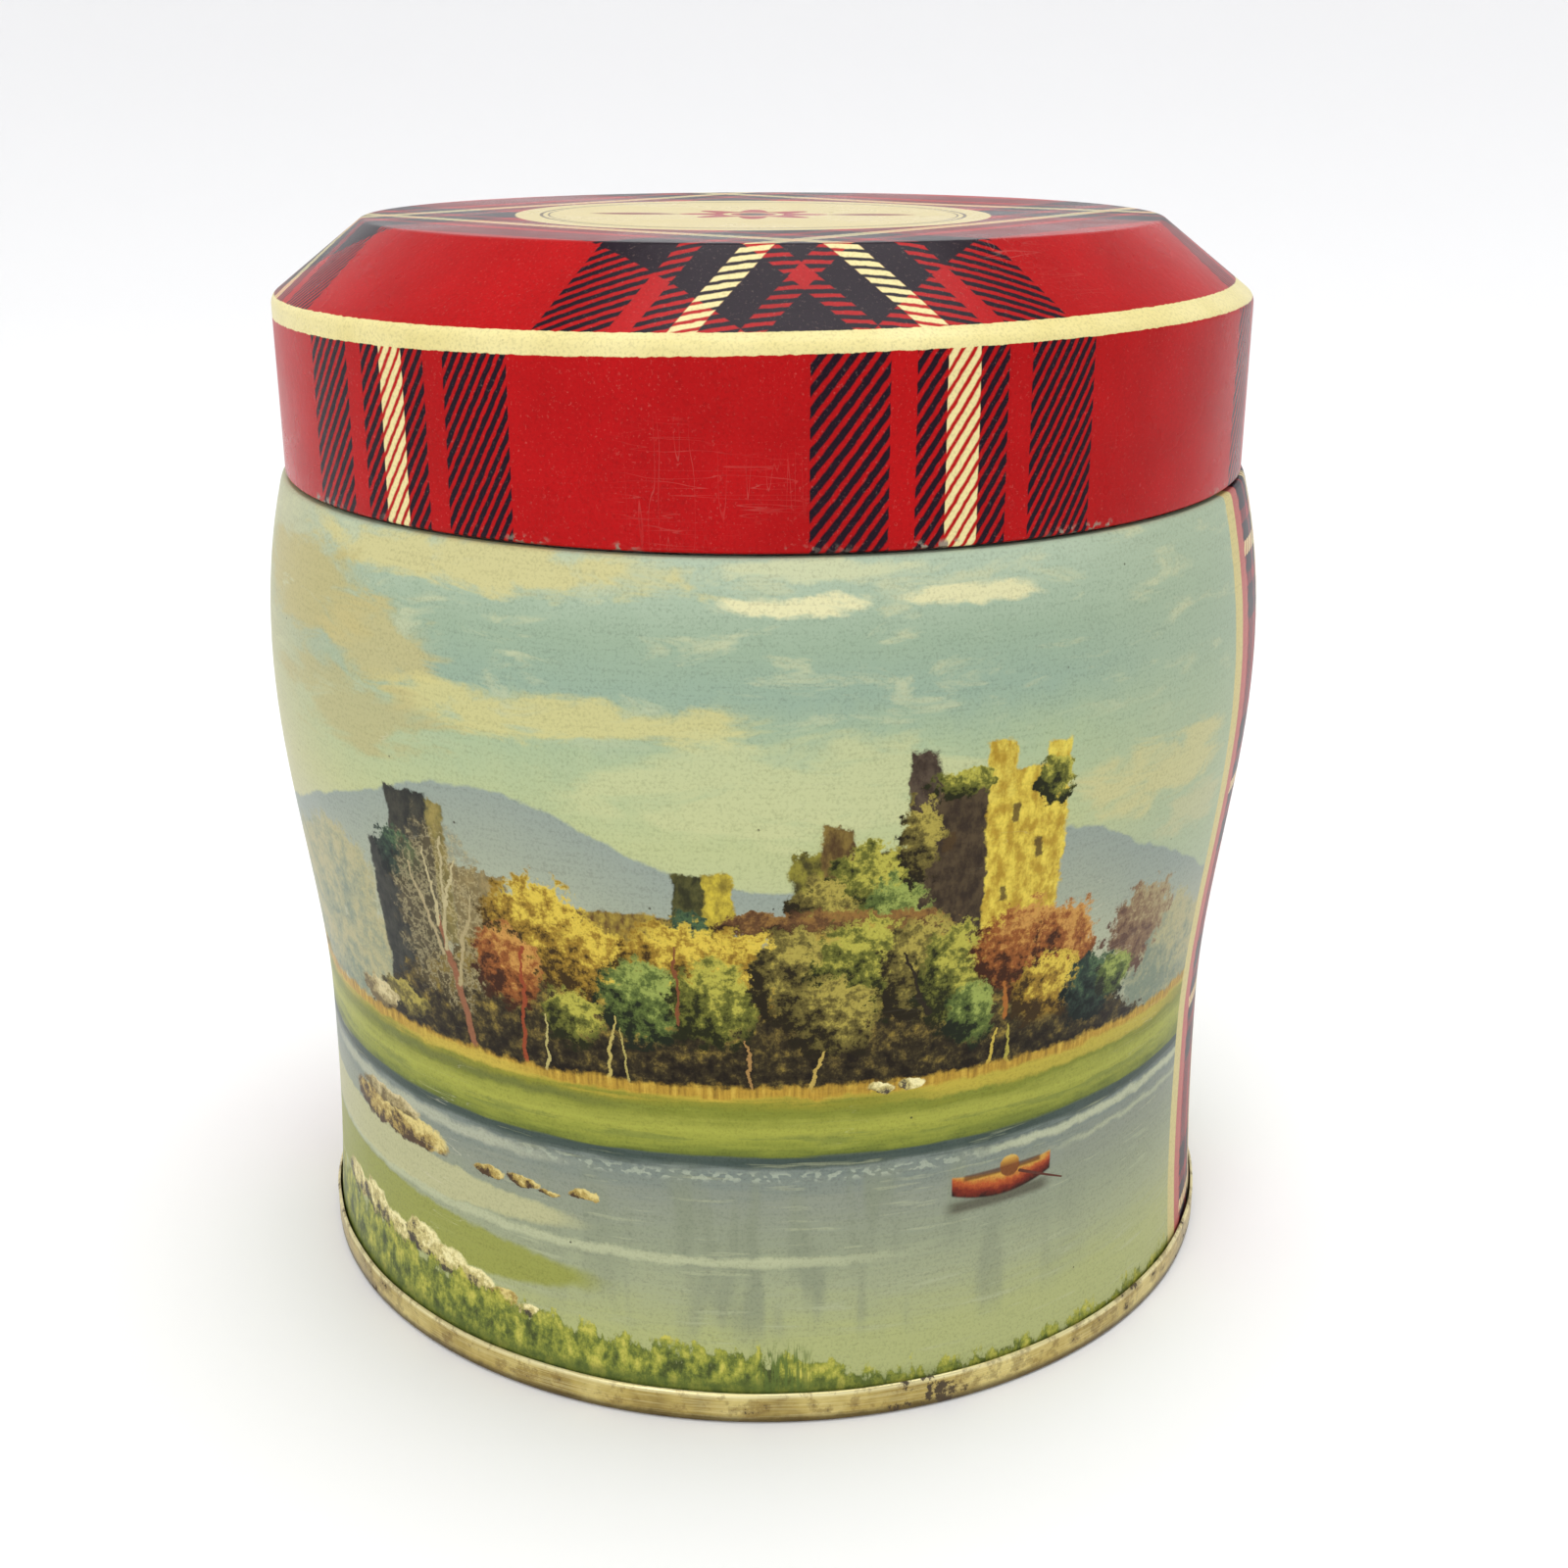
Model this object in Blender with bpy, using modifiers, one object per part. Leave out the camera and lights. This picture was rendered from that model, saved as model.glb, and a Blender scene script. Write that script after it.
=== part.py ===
"""Round shaped cookie tin: a bulged sheet-metal body, a seamed-on base end and a slip-on lid.

The tin stands on z = 0 with its axis on +Z.  Each piece is one sheet of tinplate, made as the
outer skin of its section, turned about the axis and given its thickness on the inner side.
"""
import math

import bpy

MM = 0.001

# Sheet and gaps
SHEET = 0.28 * MM              # tinplate thickness
GAP = 0.30 * MM                # running gap between neighbouring pieces
TURN_STEPS = 64                # facets round each turned piece

# Lid
LID_RADIUS = 52.0 * MM         # outside of the skirt; the other sizes are shares of it
LID_TOP_Z = 2.218 * LID_RADIUS
LID_PLATE_RADIUS = 0.815 * LID_RADIUS
LID_RIM_Z = 2.073 * LID_RADIUS
LID_EDGE_Z = 1.727 * LID_RADIUS
LID_PLATE_FILLET = 0.9 * MM
LID_RIM_FILLET = 1.4 * MM
HEM_HEIGHT = 3.0 * MM
HEM_SPACE = 0.22 * MM          # free space between the hem and the skirt it is folded against
LID_LIFT = 60.0 * MM           # upward travel that takes the lid clear of the neck

# Body
BASE_RADIUS = 1.004 * LID_RADIUS
WAIST_RADIUS = 0.989 * LID_RADIUS
BULGE_RADIUS = 1.056 * LID_RADIUS
SHOULDER_RADIUS = 1.011 * LID_RADIUS
WAIST_Z = 0.57 * LID_RADIUS
BULGE_Z = 1.34 * LID_RADIUS
SHOULDER_Z = 1.705 * LID_RADIUS
FLARE_SLOPE = -0.08            # radius change per height just above the seam
SHOULDER_SLOPE = -0.26         # radius change per height where the shoulder turns in
MOUTH_Z = 106.4 * MM           # top of the curled mouth
MOUTH_CURL_RADIUS = 0.9 * MM
MOUTH_CURL_END = math.radians(250.0)
NECK_FILLET = 0.5 * MM

# Base end
SEAM_HEIGHT = 0.066 * LID_RADIUS
SEAM_FLAT = 0.5 * MM           # width of the flat track that the tin stands on
PANEL_Z = 3.1 * MM             # underside of the recessed panel
PANEL_FILLET = 0.7 * MM
BEAD_RADIUS = 0.74 * LID_RADIUS
BEAD_WIDTH = 4.0 * MM
BEAD_DEPTH = 0.7 * MM

# Sizes that follow
HEM_FOLD_RADIUS = SHEET + HEM_SPACE / 2
HEM_INNER_RADIUS = LID_RADIUS - 2 * HEM_FOLD_RADIUS
NECK_RADIUS = HEM_INNER_RADIUS - GAP
BODY_EDGE_Z = SHEET + GAP
SEAM_OUTER_RADIUS = BASE_RADIUS + GAP + SHEET
SEAM_INNER_RADIUS = BASE_RADIUS - SHEET - GAP - SHEET
SEAM_FOLD_RADIUS = (SEAM_OUTER_RADIUS - SEAM_INNER_RADIUS) / 2

COLLECTION_NAME = "cookie_tin"


def clear_scene():
    for obj in list(bpy.data.objects):
        bpy.data.objects.remove(obj, do_unlink=True)


def make_material(name, colour, roughness, metallic):
    material = bpy.data.materials.new(name)
    material.use_nodes = True
    shader = material.node_tree.nodes["Principled BSDF"]
    shader.inputs["Base Color"].default_value = (*colour, 1.0)
    shader.inputs["Roughness"].default_value = roughness
    shader.inputs["Metallic"].default_value = metallic
    return material


def arc(centre, radius, start, end, count):
    """Points (radius, height) along an arc; angles start from the outward direction."""
    points = []
    for index in range(count + 1):
        angle = start + (end - start) * index / count
        points.append((centre[0] + radius * math.cos(angle), centre[1] + radius * math.sin(angle)))
    return points


def rounded_corner(before, corner, after, radius, count):
    """Points of an arc of the given radius that rounds one corner of a section."""
    ahead = (after[0] - corner[0], after[1] - corner[1])
    back = (before[0] - corner[0], before[1] - corner[1])
    ahead_length = math.hypot(*ahead)
    back_length = math.hypot(*back)
    ahead = (ahead[0] / ahead_length, ahead[1] / ahead_length)
    back = (back[0] / back_length, back[1] / back_length)
    half_angle = math.acos(ahead[0] * back[0] + ahead[1] * back[1]) / 2
    middle = (ahead[0] + back[0], ahead[1] + back[1])
    middle_length = math.hypot(*middle)
    reach = radius / math.sin(half_angle)
    centre = (corner[0] + middle[0] / middle_length * reach, corner[1] + middle[1] / middle_length * reach)
    tangent = radius / math.tan(half_angle)
    start_point = (corner[0] + back[0] * tangent, corner[1] + back[1] * tangent)
    end_point = (corner[0] + ahead[0] * tangent, corner[1] + ahead[1] * tangent)
    start = math.atan2(start_point[1] - centre[1], start_point[0] - centre[0])
    end = math.atan2(end_point[1] - centre[1], end_point[0] - centre[0])
    turn = (end - start + math.pi) % (2 * math.pi) - math.pi
    return arc(centre, radius, start, start + turn, count)


def smooth_run(high, low, high_slope, low_slope, count):
    """Cubic run of a wall from one (radius, height) station down to the next, ends left out."""
    span = low[1] - high[1]
    points = []
    for index in range(1, count):
        t = index / count
        radius = (
            (2 * t**3 - 3 * t**2 + 1) * high[0]
            + (t**3 - 2 * t**2 + t) * span * high_slope
            + (3 * t**2 - 2 * t**3) * low[0]
            + (t**3 - t**2) * span * low_slope
        )
        points.append((radius, high[1] + span * t))
    return points


def lid_section():
    """Lid from the middle of its top plate, over the chamfer and down the skirt to the hem."""
    centre = (0.0, LID_TOP_Z)
    plate_edge = (LID_PLATE_RADIUS, LID_TOP_Z)
    rim = (LID_RADIUS, LID_RIM_Z)
    skirt_foot = (LID_RADIUS, LID_EDGE_Z)
    fold_centre = (LID_RADIUS - HEM_FOLD_RADIUS, LID_EDGE_Z + HEM_FOLD_RADIUS)
    points = [centre]
    points += rounded_corner(centre, plate_edge, rim, LID_PLATE_FILLET, 2)
    points += rounded_corner(plate_edge, rim, skirt_foot, LID_RIM_FILLET, 3)
    points += arc(fold_centre, HEM_FOLD_RADIUS, 0.0, -math.pi, 4)
    points.append((HEM_INNER_RADIUS, LID_EDGE_Z + HEM_HEIGHT))
    return points


def body_section():
    """Body from the end of its mouth curl, down the neck, shoulder and bulge to the seam."""
    curl_centre = (NECK_RADIUS - MOUTH_CURL_RADIUS, MOUTH_Z - MOUTH_CURL_RADIUS)
    shoulder = (SHOULDER_RADIUS, SHOULDER_Z)
    bulge = (BULGE_RADIUS, BULGE_Z)
    waist = (WAIST_RADIUS, WAIST_Z)
    seam_top = (BASE_RADIUS, SEAM_HEIGHT)
    seat = (NECK_RADIUS, LID_EDGE_Z - GAP)
    shoulder_top = (SHOULDER_RADIUS - GAP, LID_EDGE_Z - GAP)
    points = arc(curl_centre, MOUTH_CURL_RADIUS, MOUTH_CURL_END, 0.0, 8)
    points += rounded_corner(points[-1], seat, shoulder_top, NECK_FILLET, 2)
    points += rounded_corner(seat, shoulder_top, shoulder, NECK_FILLET, 2)
    points.append(shoulder)
    points += smooth_run(shoulder, bulge, SHOULDER_SLOPE, 0.0, 4)
    points.append(bulge)
    points += smooth_run(bulge, waist, 0.0, 0.0, 6)
    points.append(waist)
    points += smooth_run(waist, seam_top, 0.0, FLARE_SLOPE, 4)
    points.append(seam_top)
    points.append((BASE_RADIUS, BODY_EDGE_Z))
    return points


def base_section():
    """Base end from the top of its seam, round the standing fold and in across the panel."""
    fold_middle = (SEAM_OUTER_RADIUS + SEAM_INNER_RADIUS) / 2
    fold_radius = SEAM_FOLD_RADIUS - SEAM_FLAT / 2
    outer_centre = (fold_middle + SEAM_FLAT / 2, fold_radius)
    inner_centre = (fold_middle - SEAM_FLAT / 2, fold_radius)
    wall_foot = (SEAM_INNER_RADIUS, fold_radius)
    panel_edge = (SEAM_INNER_RADIUS, PANEL_Z)
    centre = (0.0, PANEL_Z)
    points = [(SEAM_OUTER_RADIUS, SEAM_HEIGHT)]
    points += arc(outer_centre, fold_radius, 0.0, -math.pi / 2, 3)
    points += arc(inner_centre, fold_radius, -math.pi / 2, -math.pi, 3)
    points += rounded_corner(wall_foot, panel_edge, centre, PANEL_FILLET, 2)
    points.append((BEAD_RADIUS + BEAD_WIDTH / 2, PANEL_Z))
    points.append((BEAD_RADIUS + BEAD_WIDTH / 6, PANEL_Z - BEAD_DEPTH))
    points.append((BEAD_RADIUS - BEAD_WIDTH / 6, PANEL_Z - BEAD_DEPTH))
    points.append((BEAD_RADIUS - BEAD_WIDTH / 2, PANEL_Z))
    points.append(centre)
    return points


def turned_sheet(name, section, material, collection):
    """One sheet turned about +Z from the outer skin of its section."""
    mesh = bpy.data.meshes.new(name)
    vertices = [(radius, 0.0, height) for radius, height in section]
    edges = [(index, index + 1) for index in range(len(section) - 1)]
    mesh.from_pydata(vertices, edges, [])
    obj = bpy.data.objects.new(name, mesh)
    collection.objects.link(obj)
    mesh.materials.append(material)

    screw = obj.modifiers.new("Turn", "SCREW")
    screw.axis = "Z"
    screw.angle = 2 * math.pi
    screw.steps = TURN_STEPS
    screw.render_steps = TURN_STEPS
    screw.use_merge_vertices = True
    screw.merge_threshold = 0.00001
    screw.use_smooth_shade = True

    solidify = obj.modifiers.new("Sheet", "SOLIDIFY")
    solidify.thickness = SHEET
    solidify.offset = -1.0
    solidify.use_even_offset = True
    solidify.use_quality_normals = True
    return obj


def main():
    clear_scene()
    collection = bpy.data.collections.new(COLLECTION_NAME)
    bpy.context.scene.collection.children.link(collection)

    red_print = make_material("red_print", (0.50, 0.012, 0.016), 0.32, 0.0)
    picture_print = make_material("picture_print", (0.42, 0.47, 0.30), 0.38, 0.0)
    gold_lacquer = make_material("gold_lacquer", (0.48, 0.38, 0.17), 0.36, 0.8)

    turned_sheet("body_wall", body_section(), picture_print, collection)
    turned_sheet("base_end", base_section(), gold_lacquer, collection)
    lid = turned_sheet("lid_shell", lid_section(), red_print, collection)

    lift_axis = bpy.data.objects.new("lid_lift_axis", None)
    lift_axis["travel_m"] = LID_LIFT
    collection.objects.link(lift_axis)
    lid.parent = lift_axis


main()
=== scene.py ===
import math

import bpy
import numpy as np
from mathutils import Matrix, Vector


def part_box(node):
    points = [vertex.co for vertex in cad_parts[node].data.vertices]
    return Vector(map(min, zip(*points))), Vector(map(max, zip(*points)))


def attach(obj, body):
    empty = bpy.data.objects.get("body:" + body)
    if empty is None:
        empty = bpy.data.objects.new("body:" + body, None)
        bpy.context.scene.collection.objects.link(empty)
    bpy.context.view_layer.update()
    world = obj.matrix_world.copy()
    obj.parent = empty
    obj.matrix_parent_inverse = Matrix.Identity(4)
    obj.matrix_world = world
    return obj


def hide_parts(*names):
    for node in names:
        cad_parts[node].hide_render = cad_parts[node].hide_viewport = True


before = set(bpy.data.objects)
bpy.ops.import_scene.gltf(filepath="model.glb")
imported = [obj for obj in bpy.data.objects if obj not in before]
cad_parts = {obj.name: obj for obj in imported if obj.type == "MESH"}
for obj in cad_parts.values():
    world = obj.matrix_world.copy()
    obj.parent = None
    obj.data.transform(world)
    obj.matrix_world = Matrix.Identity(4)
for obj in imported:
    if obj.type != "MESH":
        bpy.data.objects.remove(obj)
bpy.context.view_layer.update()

MM = 0.001
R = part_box("lid_shell")[1][0]              # lid radius, which sizes everything
SHEET = 0.28 * MM                          # tinplate thickness
GAP = 0.30 * MM                            # running gap between neighbouring pieces
TURN_STEPS = 288                           # facets round each turned piece
LARGEST_STEP = 2.2 * MM                    # longest straight stretch of an outline

# Lid, in lid radii where no unit is given
LID_TOP_Z = 2.218
PLATE_RADIUS = 0.815
RIM_Z = 2.073
LID_EDGE_Z = 1.727
PLATE_FILLET = 0.9 * MM
RIM_FILLET = 1.4 * MM
HEM_HEIGHT = 3.0 * MM
HEM_FOLD_RADIUS = SHEET + 0.11 * MM
CHAMFER_STRETCH = math.hypot(1 - PLATE_RADIUS, LID_TOP_Z - RIM_Z) / (1 - PLATE_RADIUS)
RIM_REACH = PLATE_RADIUS + CHAMFER_STRETCH * (1 - PLATE_RADIUS)    # the rim corner, unrolled from the axis

# Body, in lid radii where no unit is given
BASE_RADIUS = 1.004
WAIST_RADIUS = 0.989
BULGE_RADIUS = 1.056
SHOULDER_RADIUS = 1.011
WAIST_Z = 0.57
BULGE_Z = 1.34
SHOULDER_Z = 1.705
FLARE_SLOPE = -0.08
SHOULDER_SLOPE = -0.26
MOUTH_Z = 106.4 * MM
MOUTH_CURL_RADIUS = 0.9 * MM
MOUTH_CURL_END = math.radians(250.0)
NECK_FILLET = 0.5 * MM
NECK_RADIUS = R - 2 * HEM_FOLD_RADIUS - GAP
LAP_ANGLE = math.radians(-103.0)           # where the rolled body sheet laps over itself
LAP_WIDTH = math.radians(5.4)
LAP_EASE = math.radians(0.7)               # over which the lap comes up to its full height
LAP_HEIGHT = 0.22 * MM

# Base end
SEAM_HEIGHT = 0.066                        # lid radii
SEAM_OUTER_RADIUS = BASE_RADIUS * R + GAP + SHEET
SEAM_INNER_RADIUS = BASE_RADIUS * R - GAP - 2 * SHEET
SEAM_FLAT = 0.5 * MM
PANEL_Z = 3.1 * MM
PANEL_FILLET = 0.7 * MM
BEAD_RADIUS = 0.74 * R
BEAD_WIDTH = 4.0 * MM
BEAD_DEPTH = 0.7 * MM
BEAD_STEPS = 16

# Unevenness and dents from handling
UNEVEN_WAVES = (                           # waves round, per metre up, their shifts, strength
    (2, 61.0, 1.0, 2.1, 1.0),
    (5, 97.0, -1.7, 1.0, 0.7),
    (9, 170.0, 3.1, -1.0, 0.4),
)
LID_UNEVENNESS = 0.06 * MM
BODY_UNEVENNESS = 0.10 * MM
LID_DENTS = (                              # angle in degrees, height in lid radii, size, depth
    (-38.0, 1.95, 6 * MM, 0.10 * MM),
    (63.0, 1.87, 5 * MM, 0.08 * MM),
)
BODY_DENTS = (
    (48.0, 0.40, 7 * MM, 0.22 * MM),
    (-58.0, 0.95, 8 * MM, 0.16 * MM),
    (150.0, 0.85, 9 * MM, 0.20 * MM),
)
PLATE_SAG = 0.10 * MM
SEAM_NOTCHES = 0.05 * MM
CREASE = math.radians(50)                  # faces that meet at more than this keep a sharp edge

# Camera, in lid radii
CAMERA_PLACE = (0.043, -4.274, 2.475)
CAMERA_TILT = math.radians(70.58)
CAMERA_LENS = 45.79
CAMERA_SENSOR = 36.0

# Studio, in metres and watts where nothing else is said
FLOOR_MIDDLE = 0.25
FLOOR_FLAT = 0.5
FLOOR_WALL = 2.0
FLOOR_TOP = 1.8
FLOOR_TURNS = 96
FLOOR_FADE = 22.0                          # lid radii over which the floor turns from white to pale grey
WORLD_STRENGTH = 0.60
LIGHTS = (                                 # name, place, aim, size, power
    ("overhead", (0.12, 0.10, 1.6), (0.0, 0.0, 0.05), 1.2, 14.5),
    ("front_fill", (-0.5, -1.1, 0.9), (0.0, 0.0, 0.06), 0.8, 4.6),
)


# ---------------------------------------- outlines

def arc(centre, radius, start, end, count):
    """Points (radius, height) along an arc; angles start from the outward direction."""
    points = []
    for index in range(count + 1):
        angle = start + (end - start) * index / count
        points.append((centre[0] + radius * math.cos(angle), centre[1] + radius * math.sin(angle)))
    return points


def rounded_corner(before, corner, after, radius, count):
    """Points of an arc of the given radius that rounds one corner of a section."""
    ahead = np.subtract(after, corner)
    back = np.subtract(before, corner)
    ahead = ahead / np.linalg.norm(ahead)
    back = back / np.linalg.norm(back)
    half_angle = math.acos(float(np.dot(ahead, back))) / 2
    middle = (ahead + back) / np.linalg.norm(ahead + back)
    centre = np.array(corner) + middle * radius / math.sin(half_angle)
    tangent = radius / math.tan(half_angle)
    first = np.array(corner) + back * tangent - centre
    last = np.array(corner) + ahead * tangent - centre
    start = math.atan2(first[1], first[0])
    end = math.atan2(last[1], last[0])
    turn = (end - start + math.pi) % (2 * math.pi) - math.pi
    return arc(tuple(centre), radius, start, start + turn, count)


def smooth_run(high, low, high_slope, low_slope, count):
    """Cubic run of a wall from one (radius, height) station down to the next, ends left out."""
    span = low[1] - high[1]
    points = []
    for index in range(1, count):
        t = index / count
        radius = (
            (2 * t**3 - 3 * t**2 + 1) * high[0]
            + (t**3 - 2 * t**2 + t) * span * high_slope
            + (3 * t**2 - 2 * t**3) * low[0]
            + (t**3 - t**2) * span * low_slope
        )
        points.append((radius, high[1] + span * t))
    return points


def filled_in(points):
    """The same outline with extra points on its long straight stretches."""
    result = [points[0]]
    for start, end in zip(points, points[1:]):
        count = max(1, math.ceil(math.dist(start, end) / LARGEST_STEP))
        for index in range(1, count + 1):
            t = index / count
            result.append((start[0] + (end[0] - start[0]) * t, start[1] + (end[1] - start[1]) * t))
    return result


def lid_section():
    """Lid from the middle of its top plate, over the chamfer and down the skirt to the hem."""
    centre = (0.0, LID_TOP_Z * R)
    plate_edge = (PLATE_RADIUS * R, LID_TOP_Z * R)
    rim = (R, RIM_Z * R)
    skirt_foot = (R, LID_EDGE_Z * R)
    fold_centre = (R - HEM_FOLD_RADIUS, LID_EDGE_Z * R + HEM_FOLD_RADIUS)
    points = [centre]
    points += rounded_corner(centre, plate_edge, rim, PLATE_FILLET, 5)
    points += rounded_corner(plate_edge, rim, skirt_foot, RIM_FILLET, 9)
    points += arc(fold_centre, HEM_FOLD_RADIUS, 0.0, -math.pi, 10)
    points.append((R - 2 * HEM_FOLD_RADIUS, LID_EDGE_Z * R + HEM_HEIGHT))
    return filled_in(points)


def body_section():
    """Body from the end of its mouth curl, down the neck, shoulder and bulge to the seam."""
    curl_centre = (NECK_RADIUS - MOUTH_CURL_RADIUS, MOUTH_Z - MOUTH_CURL_RADIUS)
    shoulder = (SHOULDER_RADIUS * R, SHOULDER_Z * R)
    bulge = (BULGE_RADIUS * R, BULGE_Z * R)
    waist = (WAIST_RADIUS * R, WAIST_Z * R)
    seam_top = (BASE_RADIUS * R, SEAM_HEIGHT * R)
    seat = (NECK_RADIUS, LID_EDGE_Z * R - GAP)
    shoulder_top = (SHOULDER_RADIUS * R - GAP, LID_EDGE_Z * R - GAP)
    points = arc(curl_centre, MOUTH_CURL_RADIUS, MOUTH_CURL_END, 0.0, 20)
    points += rounded_corner(points[-1], seat, shoulder_top, NECK_FILLET, 5)
    points += rounded_corner(seat, shoulder_top, shoulder, NECK_FILLET, 6)
    points.append(shoulder)
    points += smooth_run(shoulder, bulge, SHOULDER_SLOPE, 0.0, 9)
    points.append(bulge)
    points += smooth_run(bulge, waist, 0.0, 0.0, 18)
    points.append(waist)
    points += smooth_run(waist, seam_top, 0.0, FLARE_SLOPE, 12)
    points.append(seam_top)
    points.append((BASE_RADIUS * R, SHEET + GAP))
    return filled_in(points)


def base_section():
    """Base end from the top of its seam, pressed to the wall, round the standing fold and the panel."""
    fold_middle = (SEAM_OUTER_RADIUS + SEAM_INNER_RADIUS) / 2
    fold_radius = (SEAM_OUTER_RADIUS - SEAM_INNER_RADIUS - SEAM_FLAT) / 2
    outer_centre = (fold_middle + SEAM_FLAT / 2, fold_radius)
    inner_centre = (fold_middle - SEAM_FLAT / 2, fold_radius)
    wall_foot = (SEAM_INNER_RADIUS, fold_radius)
    panel_edge = (SEAM_INNER_RADIUS, PANEL_Z)
    centre = (0.0, PANEL_Z)
    lip_centre = (SEAM_OUTER_RADIUS - GAP, SEAM_HEIGHT * R - GAP)
    points = arc(lip_centre, GAP, math.pi / 2, 0.0, 5)
    points += arc(outer_centre, fold_radius, 0.0, -math.pi / 2, 7)
    points += arc(inner_centre, fold_radius, -math.pi / 2, -math.pi, 7)
    points += rounded_corner(wall_foot, panel_edge, centre, PANEL_FILLET, 5)
    for index in range(BEAD_STEPS + 1):
        share = index / BEAD_STEPS
        depth = BEAD_DEPTH * math.sin(math.pi * share) ** 2
        points.append((BEAD_RADIUS + BEAD_WIDTH * (0.5 - share), PANEL_Z - depth))
    points.append(centre)
    return filled_in(points)


# ---------------------------------------- meshes

def turned_sheet(name, section, outer, inner):
    """Applied mesh of one sheet: its outer skin turned about +Z, with its thickness on the inner side."""
    draft = bpy.data.meshes.new(name + "_draft")
    draft.from_pydata(
        [(radius, 0.0, height) for radius, height in section],
        [(index, index + 1) for index in range(len(section) - 1)],
        [],
    )
    blank = bpy.data.objects.new(name + "_draft", draft)
    bpy.context.scene.collection.objects.link(blank)
    draft.materials.append(outer)
    draft.materials.append(inner)

    screw = blank.modifiers.new("Turn", "SCREW")
    screw.axis = "Z"
    screw.angle = 2 * math.pi
    screw.steps = TURN_STEPS
    screw.render_steps = TURN_STEPS
    screw.use_merge_vertices = True
    screw.merge_threshold = 0.00001
    screw.use_smooth_shade = True

    solidify = blank.modifiers.new("Sheet", "SOLIDIFY")
    solidify.thickness = SHEET
    solidify.offset = -1.0
    solidify.use_even_offset = True
    solidify.material_offset = 1
    solidify.material_offset_rim = 1

    graph = bpy.context.evaluated_depsgraph_get()
    mesh = bpy.data.meshes.new_from_object(blank.evaluated_get(graph), depsgraph=graph)
    mesh.name = name
    bpy.data.objects.remove(blank, do_unlink=True)
    bpy.data.meshes.remove(draft)
    piece = bpy.data.objects.new(name, mesh)
    bpy.context.scene.collection.objects.link(piece)
    return piece


def cylinder_places(piece):
    """The piece's vertices, with the distance from the axis and the angle from the front of each."""
    places = np.empty(len(piece.data.vertices) * 3)
    piece.data.vertices.foreach_get("co", places)
    places = places.reshape(-1, 3)
    reach = np.hypot(places[:, 0], places[:, 1])
    angle = np.arctan2(places[:, 0], -places[:, 1])
    return places, reach, angle


def push_out(piece, amount):
    """Moves each vertex away from the axis by its own amount."""
    places, reach, _ = cylinder_places(piece)
    share = 1.0 + amount / np.maximum(reach, MM)
    places[:, 0] *= share
    places[:, 1] *= share
    piece.data.vertices.foreach_set("co", places.ravel())


def finished(piece):
    """Smooth shading with sharp edges at the creases."""
    piece.data.update()
    piece.data.shade_smooth()
    piece.data.set_sharp_from_angle(angle=CREASE)
    return piece


def handled(angle, height, seed):
    """Slow unevenness of hand-worn sheet metal, from -1 to 1."""
    waves = 0.0
    for around, per_metre, shift_around, shift_up, strength in UNEVEN_WAVES:
        level = np.sin(per_metre * height + shift_up * seed)
        waves += strength * np.sin(around * angle + shift_around * seed) * level
    return waves / sum(wave[-1] for wave in UNEVEN_WAVES)


def half_turn(angle):
    """The same angle between minus and plus half a turn."""
    return (angle + math.pi) % (2 * math.pi) - math.pi


def eased(value, start, width):
    """0 up to start, 1 from start + width on, and a straight rise between."""
    return np.clip((value - start) / width, 0, 1)


def dents(angle, height, rows):
    """Depth of shallow round dents."""
    depth = 0.0
    for centre, level, size, deepest in rows:
        distance = np.hypot(half_turn(angle - math.radians(centre)) * R, height - level * R)
        depth += deepest * np.exp(-((distance / size) ** 2))
    return depth


def make_lid(outer, inner):
    lid = turned_sheet("printed_lid", lid_section(), outer, inner)
    places, reach, angle = cylinder_places(lid)
    height = places[:, 2]
    on_skirt = eased(reach, 0.9 * R, 0.08 * R)
    amount = LID_UNEVENNESS * handled(angle, height, 1.3) - dents(angle, height, LID_DENTS)
    push_out(lid, amount * on_skirt)
    places, reach, _ = cylinder_places(lid)
    on_plate = 1.0 - eased(reach, 0.48 * R, 0.30 * R)
    waves = np.sin(places[:, 0] * 70 + 0.6) * np.sin(places[:, 1] * 58 + 1.1)
    places[:, 2] -= PLATE_SAG * on_plate * (1.0 + waves)
    lid.data.vertices.foreach_set("co", places.ravel())
    return finished(lid)


def make_body(outer, inner):
    body = turned_sheet("printed_body", body_section(), outer, inner)
    places, _, angle = cylinder_places(body)
    height = places[:, 2]
    below_lid = 1.0 - eased(height, 1.64 * R, 0.06 * R)
    free = below_lid * eased(height, 0.10 * R, 0.10 * R)
    amount = BODY_UNEVENNESS * handled(angle, height, 0.4) - dents(angle, height, BODY_DENTS)
    from_lap = np.abs(half_turn(angle - LAP_ANGLE))
    lap = 1.0 - eased(from_lap, LAP_WIDTH / 2 - LAP_EASE, LAP_EASE)
    raised = LAP_HEIGHT * lap * below_lid * eased(height, SEAM_HEIGHT * R, 0.03 * R)
    push_out(body, amount * free + raised)
    neck_limit = NECK_RADIUS + 0.4 * MM
    shoulder_limit = LID_EDGE_Z * R - GAP - 0.1 * MM
    for face in body.data.polygons:
        x, y, z = face.center
        if z > shoulder_limit and math.hypot(x, y) < neck_limit:
            face.material_index = 1
    return finished(body)


def make_base(outer, inner):
    base = turned_sheet("lacquered_base", base_section(), outer, inner)
    places, reach, angle = cylinder_places(base)
    on_seam = eased(reach, 0.99 * R, 0.01 * R) * eased(places[:, 2], 0.0, 0.02 * R)
    notches = 0.5 + 0.5 * np.sin(23 * angle + 1.2 * np.sin(5 * angle))
    push_out(base, -SEAM_NOTCHES * notches * on_seam)
    return finished(base)


# ---------------------------------------- shader painting

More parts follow.
